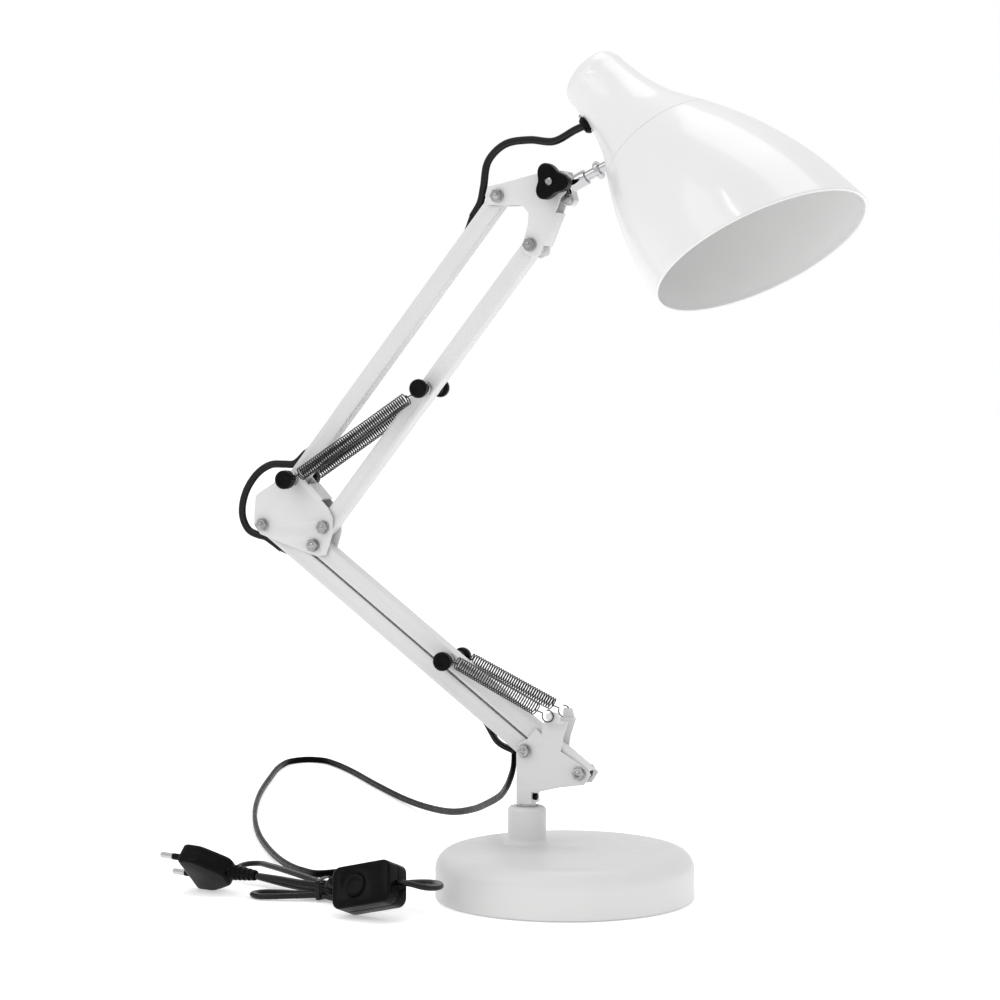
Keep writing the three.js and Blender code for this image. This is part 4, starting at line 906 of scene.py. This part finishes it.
LOWER_COIL = (arm(-44.4, 147.5), arm(13, 120))
UPPER_COIL = (arm(-156, 266), arm(-78, 317))
LOWER_HOOK = arm(20, 116.3)
PIN_OFFSET, HOOK_OFFSET, KNOB_OFFSET = 11.5, 14, 13
for side_name, sign in (("front", -1), ("rear", 1)):
    at_pin = Y_AXIS * (PIN_OFFSET * sign)
    at_hook = Y_AXIS * (HOOK_OFFSET * sign)
    coil_spring(
        f"lower_coil_{side_name}", f"lower_spring_{side_name}",
        LOWER_COIL[1] + at_hook, LOWER_COIL[0] + at_pin, LOWER_HOOK + at_hook, LOWER_SPRING_PIN + at_pin,
    )
    at_knob = Y_AXIS * (KNOB_OFFSET * sign)
    coil_spring(
        f"upper_coil_{side_name}", f"upper_spring_{side_name}",
        UPPER_COIL[0] + at_knob, UPPER_COIL[1] + at_knob, ELBOW_UPPER_LEFT + at_knob, UPPER_SPRING_PIN + at_knob,
    )


# ---- tilt joint
def channel_shade_bush(name, body, pivot):
    """Black plastic bush round a pivot bolt in the open end of a channel bar: a dark piece that stands in as
    painted shade for the channel's shadowed inside.
    """
    piece(name, *lathe(ring_of(2.8, 4.9, -3.6, 3.6), pivot, Y_AXIS, 32), "black_knob", body)


def stop_screw():
    """Small black screw on the right of the stem, just under the bracket."""
    head = soften([(0, -1), (1.7, -1), (2.3, 0.6), (2.3, 2), (1.6, 2.6), (0, 2.6)], 0.3, 2)
    piece("stop_screw", *lathe(head, arm(6, 62.6, -3), X_AXIS, 24), "black_knob", "turntable")


# painted shade: black bushes fill the open ends of the lower and upper right bars, where the channel's inside
# lies in shadow
channel_shade_bush("base_painted_shade_bush", "lower_right_arm", BASE_RIGHT)
channel_shade_bush("head_painted_shade_bush", "upper_right_arm", HEAD_RIGHT)
stop_screw()


KNOB_INNER, KNOB_OUTER, SLEEVE_END = -11.5, -20.5, -7.7
LOBES, LOBE_MEAN, LOBE_WAVE = 3, 10.2, 2.2


def tilt_knob():
    outline = []
    for i in range(96):
        angle = 2 * math.pi * i / 96
        reach = LOBE_MEAN + LOBE_WAVE * math.cos(LOBES * (angle + math.radians(5)))
        outline.append((reach * math.cos(angle), reach * math.sin(angle)))
    body = prism(outline, KNOB_OUTER, KNOB_INNER, 1.6, 5, (X_AXIS, Z_AXIS, Y_AXIS, TILT))
    under, face = KNOB_INNER + 0.6, KNOB_OUTER + 1
    sleeve = soften([(2.8, SLEEVE_END), (4, SLEEVE_END), (4, under), (2.8, under)], 0.3)
    hub = soften([(0, KNOB_OUTER - 0.2), (3.9, KNOB_OUTER - 0.2), (3.9, face), (0, face)], 0.3)
    parts = [body, lathe(sleeve, TILT, Y_AXIS, 40), lathe(hub, TILT, Y_AXIS, 40)]
    piece("lobed_knob", *merge(*parts), "black_knob", "clamp_knob", ["tilt_knob"])


def tilt_joint():
    shank = [(0, -22.7), (1.6, -22.7), (2.4, -21.7), (2.4, PLATE_FACE), (0, PLATE_FACE)]
    parts = [lathe(shank, TILT, Y_AXIS, 24)]
    parts += [turned(ring_of(2.3, 4.6, 3.9, 5.8), TILT, sign, 32) for sign in (-1, 1)]
    parts += nut_stack(TILT, 1)
    piece("clamp_bolt", *merge(*parts), "nickel_fastener", "tilt_clamp", ["tilt_bolt"])

    screw = soften([
        (0, -5.8), (2.4, -5.8), (3.4, -5), (3.4, -3.9), (1.5, -3.9), (1.5, 3.9), (3.4, 3.9), (3.4, 5),
        (2.4, 5.8), (0, 5.8),
    ], 0.3)
    turned_screw = lathe(screw, centre("swivel_screw"), Y_AXIS, 32)
    piece("clamp_screw", *turned_screw, "nickel_fastener", "tilt_clamp", ["swivel_screw"])

    rod = soften([(0, 9), (3.25, 9), (3.25, 35), (0, 35)], 0.6)
    piece("shade_stem", *lathe(rod, ROD_FOOT, ROD_AXIS, 40), "chrome", "shade", ["shade_rod"])
    side, up = axes_for(ROD_AXIS)
    verts = []
    for height, size in ((24.6, 0.9), (25.0, 1), (27.2, 1), (27.6, 0.9)):
        for i in range(HEX_SIDES):
            angle = 2 * math.pi * i / HEX_SIDES
            outward = side * math.cos(angle) + up * math.sin(angle)
            verts.append(ROD_FOOT + ROD_AXIS * height + outward * (6 * min(hex_share(angle), size)))
    piece("stem_nut", verts, hex_faces(4), "chrome", "shade", ["rod_nut"])


tilt_knob()
tilt_joint()


# ---- shade
# the shade's axis goes through four points, and its radii are at shares of the way from neck to mouth
SHADE_X = (37.1, 78.1, 120.1, 161.9)
SHADE_Z = (523, 486.4, 448.7, 406.5)
SHADE_TILT = (41.4, 19.4)
SHADE_RADII = ((0, 14.1), (0.03, 20.4), (0.08, 21.4), (0.2, 23.9), (0.32, 30.2), (0.46, 42.4), (0.62, 54.4),
               (0.8, 64.1), (1, 70.6))
SHADE_TWIST = Matrix.Rotation(math.radians(-10), 3, ROD_AXIS)
SHADE_SIDES = 120


def through_four(values, s):
    """The cubic through four evenly spaced values, at the share s."""
    knots = (0, 1 / 3, 2 / 3, 1)
    total = 0.0
    for i, value in enumerate(values):
        part = value
        for j, knot in enumerate(knots):
            if i != j:
                part *= (s - knot) / (knots[i] - knot)
        total += part
    return total


def shade_radius(s):
    """Radius at the share s, on smooth curves through the known ones."""
    knots = SHADE_RADII
    after = next((i for i in range(1, len(knots)) if knots[i][0] >= s), len(knots) - 1)

    def slope(i):
        low = knots[max(0, i - 1)]
        high = knots[min(len(knots) - 1, i + 1)]
        return (high[1] - low[1]) / (high[0] - low[0])

    (s0, r0), (s1, r1) = knots[after - 1], knots[after]
    width = s1 - s0
    t = (s - s0) / width
    m0, m1 = slope(after - 1) * width, slope(after) * width
    return (r0 * (2 * t**3 - 3 * t**2 + 1) + m0 * (t**3 - 2 * t**2 + t)
            + r1 * (3 * t**2 - 2 * t**3) + m1 * (t**3 - t**2))


def section_axes(s):
    tilt = math.radians(SHADE_TILT[0] + SHADE_TILT[1] * s)
    down = Vector((-math.sin(tilt), 0, -math.cos(tilt)))
    out = Vector((math.cos(tilt), 0, -math.sin(tilt)))
    return down, out


def shade_middle(s):
    return arm(through_four(SHADE_X, s), through_four(SHADE_Z, s))


def untwisted(s, phi, radius):
    down, _ = section_axes(s)
    return shade_middle(s) + (down * math.cos(phi) + Y_AXIS * math.sin(phi)) * radius


def twisted(point):
    return ROD_FOOT + SHADE_TWIST @ (point - ROD_FOOT)


def shade_skin(stations):
    """Points of rings, one for each (s, radius)."""
    verts = []
    for s, radius in stations:
        for i in range(SHADE_SIDES):
            verts.append(twisted(untwisted(s, 2 * math.pi * i / SHADE_SIDES, radius)))
    return verts


def spread(start, end, steps):
    return [start + (end - start) * i / steps for i in range(steps + 1)]


def shade_shells():
    wall = 1.0
    cap_end, bell_start, collar_start = 0.4402, 0.4416, 0.4
    crown_end, top_radius = 0.03, SHADE_RADII[0][1]
    crown_radius = shade_radius(crown_end)
    crown = [(crown_end * (1 - math.cos(a)), top_radius + (crown_radius - top_radius) * math.sin(a))
             for a in (math.pi / 2 * i / 6 for i in range(7))]
    outer = [(0, 0.01), (0, 7), *crown, *((s, shade_radius(s)) for s in spread(0.04, cap_end, 36))]
    lip = [(cap_end + 0.001, shade_radius(cap_end) - wall / 2)]
    inner = [(s, shade_radius(s) - wall) for s in reversed(spread(0.04, cap_end, 24))]
    inner += [(0.012, crown_radius - 5), (0.009, 7), (0.009, 0.01)]
    stations = [*outer, *lip, *inner]
    faces = rings_to_faces(len(stations), SHADE_SIDES)
    piece("neck_cover", shade_skin(stations), faces, "shade_paint", "shade", ["shade_cap"])

    roll, collar_wall = 1.1, 1.3
    rim = [(1 + 0.004 * math.sin(a), shade_radius(1) - roll + roll * math.cos(a))
           for a in (math.pi * i / 8 for i in range(9))]
    outer = [(s, shade_radius(s)) for s in spread(bell_start, 0.994, 52)]
    inner = [(s, shade_radius(s) - 1.9) for s in reversed(spread(bell_start, 0.99, 40))]
    bell_collar = shade_radius(bell_start) - collar_wall
    cap_collar = shade_radius(collar_start) - collar_wall
    collar = [
        (bell_start, bell_collar - wall), (collar_start, cap_collar - wall),
        (collar_start, cap_collar), (bell_start, bell_collar),
    ]
    stations = [*outer, *rim, *inner, *collar]
    faces = rings_to_faces(len(stations), SHADE_SIDES, True)
    piece("bell_cover", shade_skin(stations), faces, "shade_paint", "shade", ["shade_bell"])


def on_surface(s, phi):
    """Point on the shade and the way square out of it."""
    step, turn = 0.004, 0.02

    def surface(s, phi):
        return untwisted(s, phi, shade_radius(s))

    at = surface(s, phi)
    forward = surface(s + step, phi) - surface(s - step, phi)
    sideways = surface(s, phi + turn) - surface(s, phi - turn)
    outward = sideways.cross(forward).normalized()
    if outward.dot(at - shade_middle(s)) < 0:
        outward.negate()
    return twisted(at), SHADE_TWIST @ outward


GROMMET_AT = (0.167, math.radians(-17))
SCREW_AT = (0.11, 0)
HOLDER_AT = 0.06


def shade_fittings():
    origin, outward = on_surface(*GROMMET_AT)
    grommet = soften([(3, -2.6), (4.2, -2.6), (4.2, 0.5), (6, 0.5), (6, 1.8), (4.2, 4), (3, 4), (3, -2.6)], 0.5)
    piece("cable_grommet", *lathe(grommet, origin, outward, 40), "black_knob", "shade", ["cord_grommet"])

    origin, outward = on_surface(*SCREW_AT)
    screw = soften([(0, -2.4), (1.6, -2.4), (1.6, 0.4), (3.2, 0.4), (2.8, 1.8), (0, 2.2)], 0.4)
    piece("neck_screw", *lathe(screw, origin, outward, 32), "chrome", "shade", ["grommet_screw"])

    start = twisted(shade_middle(HOLDER_AT))
    ahead = SHADE_TWIST @ section_axes(HOLDER_AT)[1]
    body = soften([
        (0, 0), (14, 0), (17, 3), (17, 20), (16.4, 20.6), (16.4, 22), (17, 22.6), (17, 44), (13.5, 44),
        (13.5, 14), (0, 14),
    ], 0.5)
    piece("bulb_holder", *lathe(body, start, ahead, 64), "holder_plastic", "shade", ["lamp_holder"])
    ring = soften([(17.3, 26), (20, 26), (20, 29), (17.3, 29), (17.3, 26)], 0.5)
    piece("holder_collar", *lathe(ring, start, ahead, 72), "holder_plastic", "shade", ["holder_ring"])
    thread = [(13.3, 15)]
    for turn in range(11):
        at = 16 + 2.4 * turn
        thread += [(12.9, at), (12.2, at + 0.9), (12.9, at + 1.8)]
    thread += [(13.3, 42), (13.4, 15)]
    piece("socket_sleeve", *lathe(thread, start, ahead, 48), "holder_plastic", "shade", look=BRASS)
    contact = soften([(0, 14), (4.2, 14), (3.6, 16.5), (2.4, 17.4), (0, 17.6)], 0.4)
    piece("socket_contact", *lathe(contact, start, ahead, 32), "holder_plastic", "shade", look=BRASS)


shade_shells()
shade_fittings()


# ---- switch, tie and plug
SWITCH_CENTRE = Vector((-85.9, -108.5, 18.9))
SWITCH_ALONG = Vector((41.1, -4.8, 10)).normalized()
SWITCH_OUT = Vector((-3.8, -18.1, 7.1))


def switch_axes():
    """The switch's frame: x along it, y up its face, z out of its face."""
    out = (SWITCH_OUT - SWITCH_ALONG * SWITCH_OUT.dot(SWITCH_ALONG)).normalized()
    return SWITCH_ALONG, out.cross(SWITCH_ALONG), out, SWITCH_CENTRE


def rounded_rectangle(width, height, radius, steps=6):
    points = []
    for cx, cy, first in ((1, 1, 0), (-1, 1, 90), (-1, -1, 180), (1, -1, 270)):
        for i in range(steps + 1):
            angle = math.radians(first + 90 * i / steps)
            points.append((cx * (width / 2 - radius) + radius * math.cos(angle),
                           cy * (height / 2 - radius) + radius * math.sin(angle)))
    return points


SWITCH_LENGTH, SWITCH_WIDTH, SWITCH_CORNER = 42.6, 26.6, 5.5
SWITCH_HALF = 9.9
SWITCH_SPLIT = 0.2
BUTTON_BACK = 4
BUTTON_TILT = math.radians(8)


def switch():
    axes = switch_axes()
    long, _, out, origin = axes
    case = rounded_rectangle(SWITCH_LENGTH, SWITCH_WIDTH, SWITCH_CORNER)
    button = origin - long * BUTTON_BACK
    over = SWITCH_HALF + 1
    front = piece("switch_front", *prism(case, SWITCH_SPLIT - 1.6, SWITCH_HALF, 1.6, 5, axes), "black_case")
    well_profile = [(0, SWITCH_HALF - 4.4), (7.5, SWITCH_HALF - 4.4), (7.5, over), (0, over)]
    low = SWITCH_HALF - 0.45
    dish_profile = [(0, low), (9.2, low), (10, SWITCH_HALF + 0.1), (10, over), (0, over)]
    well = piece("well", *lathe(well_profile, button, out, 64), "black_case")
    dish = piece("dish", *lathe(dish_profile, button, out, 64), "black_case")
    trim = piece("trim", *prism(rounded_rectangle(60, 40, 1), -12, SWITCH_SPLIT, 0.01, 1, axes), "black_case")
    carve(front, *(("DIFFERENCE", tool) for tool in (well, dish, trim)))
    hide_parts("switch_top")
    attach(front, "base")
    back = prism(case, -SWITCH_HALF, -SWITCH_SPLIT, 1.2, 5, axes)
    piece("switch_back", *back, "black_case", "base", ["switch_bottom"])

    normal = (out * math.cos(BUTTON_TILT) + long * math.sin(BUTTON_TILT)).normalized()
    rocker = soften([(0, -1.5), (7, -1.5), (7, 1.2), (5.6, 1.5), (3, 1.25), (0, 1.1)], 0.4)
    middle = button + out * (SWITCH_HALF - 0.4)
    piece("rocker_button", *lathe(rocker, middle, normal, 64), "black_case", "rocker", ["switch_rocker"])


PLUG_NOSE = Vector((-230.8, -72, 15.6))
PLUG_TAIL = Vector((-179.2, -79, 14.4))
PLUG_ROLL = math.radians(44)
PLUG_HALF_WIDTH = 17
PLUG_HALF_THICKNESS = 6.75
PIN_SPACING = 18.4
RIBS = 5


def plug_axes():
    ahead = (PLUG_NOSE - PLUG_TAIL).normalized()
    level = Z_AXIS.cross(ahead).normalized()
    across = level * math.cos(PLUG_ROLL) + ahead.cross(level) * math.sin(PLUG_ROLL)
    return ahead, across, ahead.cross(across), PLUG_NOSE


def plug():
    axes = plug_axes()
    ahead, across, _, nose = axes
    half = PLUG_HALF_WIDTH
    edge = [(0, half - 1.2), (-2.4, half), (-13, half), (-23, 12), (-32.5, 6.2)]
    loop = [Vector(p) for p in [*edge, *((x, -y) for x, y in reversed(edge))]]
    outline = []
    for before, corner, after in zip([loop[-1], *loop], loop, [*loop[1:], loop[0]]):
        outline += [tuple(p) for p in curved_corner(corner.lerp(before, 0.3), corner, corner.lerp(after, 0.3), 4)]
    body = prism(outline, -PLUG_HALF_THICKNESS, PLUG_HALF_THICKNESS, 2.4, 6, axes)
    sleeve = [(0, 29), (5.4, 29)]
    for rib in range(RIBS):
        at = 33.4 + rib * 3.5
        radius = 5.2 - rib * 0.34
        sleeve += [(radius, at), (radius - 0.9, at + 0.5), (radius - 0.9, at + 1.5), (radius - 0.2, at + 2)]
    sleeve += [(3.3, 51.2), (2.9, 51.6), (0, 51.6)]
    relief = lathe(soften(sleeve, 0.3, 2), nose, -ahead, 40)
    ridge = prism([(x * 0.985 - 0.2, y * 1.012) for x, y in outline], -0.45, 0.45, 0.3, 2, axes)
    pieces = [piece("plug_shell", *merge(body, relief, ridge), "black_case", "base", ["plug_body"])]
    for name, side in (("left", -1), ("right", 1)):
        origin = nose + across * (PIN_SPACING / 2 * side)
        collar = soften([(0, -0.5), (2.15, -0.5), (2.15, 9), (1.9, 9.3), (0, 9.3)], 0.2, 2)
        pieces.append(piece(f"pin_sleeve_{name}", *lathe(collar, origin, ahead, 32), "black_case", "base"))
        tip = lathe([(0, 9), (2, 9), (2, 17.6), *arc(0.6, 17.6, 1.4, 0, 90, 5), (0, 19)], origin, ahead, 32)
        pieces.append(piece(f"plug_prong_{name}", *tip, "chrome", "base", [f"plug_pin_{name}"]))
    return pieces


TIE_TURNS, TIE_STEPS, TIE_PITCH = 2, 96, 0.8
TIE_START = math.radians(60)
TIE_SQUARE = 0.7
TIE_THICKNESS = 0.7
TIE_SECTION = [(1.1, 0.3), (0.5, 0.62), (-0.5, 0.62), (-1.1, 0.3), (-1.1, -0.3), (-0.5, -0.62), (0.5, -0.62),
               (1.1, -0.3)]


def tie():
    """A wire tie wrapped twice round the folded lead."""
    low, high = corners("cord_tie")
    reach_y = (high.y - low.y) / 2 - TIE_THICKNESS
    reach_z = (high.z - low.z) / 2 - TIE_THICKNESS
    middle = (low + high) / 2
    path = []
    for i in range(TIE_STEPS + 1):
        angle = 2 * math.pi * TIE_TURNS * i / TIE_STEPS + TIE_START
        reach = 0.98 / max(abs(math.cos(angle)), abs(math.sin(angle))) ** TIE_SQUARE
        along = TIE_PITCH * TIE_TURNS * (i / TIE_STEPS - 0.5)
        across = reach * Vector((0, reach_y * math.cos(angle), reach_z * math.sin(angle)))
        path.append(middle + X_AXIS * along + across)
    return piece("lead_tie", *sweep(path, TIE_SECTION, X_AXIS), "black_cord", "base", ["cord_tie"])


switch()
plug_pieces = plug()
tie_piece = tie()


# ---- the CAD node that stays
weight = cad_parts["base_weight"]
weight.data.materials.clear()
weight.data.materials.append(FINISHES["cast_iron"])


# ---- floor and light
FLOOR_REACH = 12.0
WORLD_LIGHT = 0.9


def stage():
    """A paper floor, and a world that looks plain white and lights a little less."""
    reach = FLOOR_REACH
    mesh = bpy.data.meshes.new("floor")
    floor_corners = [(-reach, -reach, 0), (reach, -reach, 0), (reach, reach, 0), (-reach, reach, 0)]
    mesh.from_pydata(floor_corners, [], [(0, 1, 2, 3)])
    mesh.materials.append(PAPER)
    add_object("floor", mesh)
    world = bpy.data.worlds.new("studio")
    bpy.context.scene.world = world
    world.use_nodes = True
    tree = world.node_tree
    soft = tree.nodes["Background"]
    set_sockets(soft, Color=WHITE, Strength=WORLD_LIGHT)
    paper = tree.nodes.new("ShaderNodeBackground")
    set_sockets(paper, Color=WHITE)
    mix = tree.nodes.new("ShaderNodeMixShader")
    tree.links.new(tree.nodes.new("ShaderNodeLightPath").outputs["Is Camera Ray"], mix.inputs["Fac"])
    tree.links.new(soft.outputs["Background"], mix.inputs[1])
    tree.links.new(paper.outputs["Background"], mix.inputs[2])
    tree.links.new(mix.outputs["Shader"], tree.nodes["World Output"].inputs["Surface"])
    bpy.context.scene.view_settings.view_transform = "Standard"


def softbox(name, place, aim, size, watts):
    """A soft rectangular lamp, its places and size in metres."""
    data = bpy.data.lights.new(name, "AREA")
    data.shape = "RECTANGLE"
    data.size, data.size_y = size
    data.energy = watts
    look_from(add_object(name, data), place, aim)


stage()
softbox("key", (-1.5, -1.7, 1.7), (0, 0, 0.25), (0.7, 1.5), 5)
softbox("strip", (-0.7, -1.7, 2.0), (0.1, 0, 0.4), (0.06, 1.2), 3.5)
softbox("fill", (1.9, -0.9, 1.2), (0, 0, 0.3), (0.5, 1.4), 1)
softbox("top", (0.1, 0.4, 2.2), (0, 0, 0.1), (1.2, 1.2), 9)
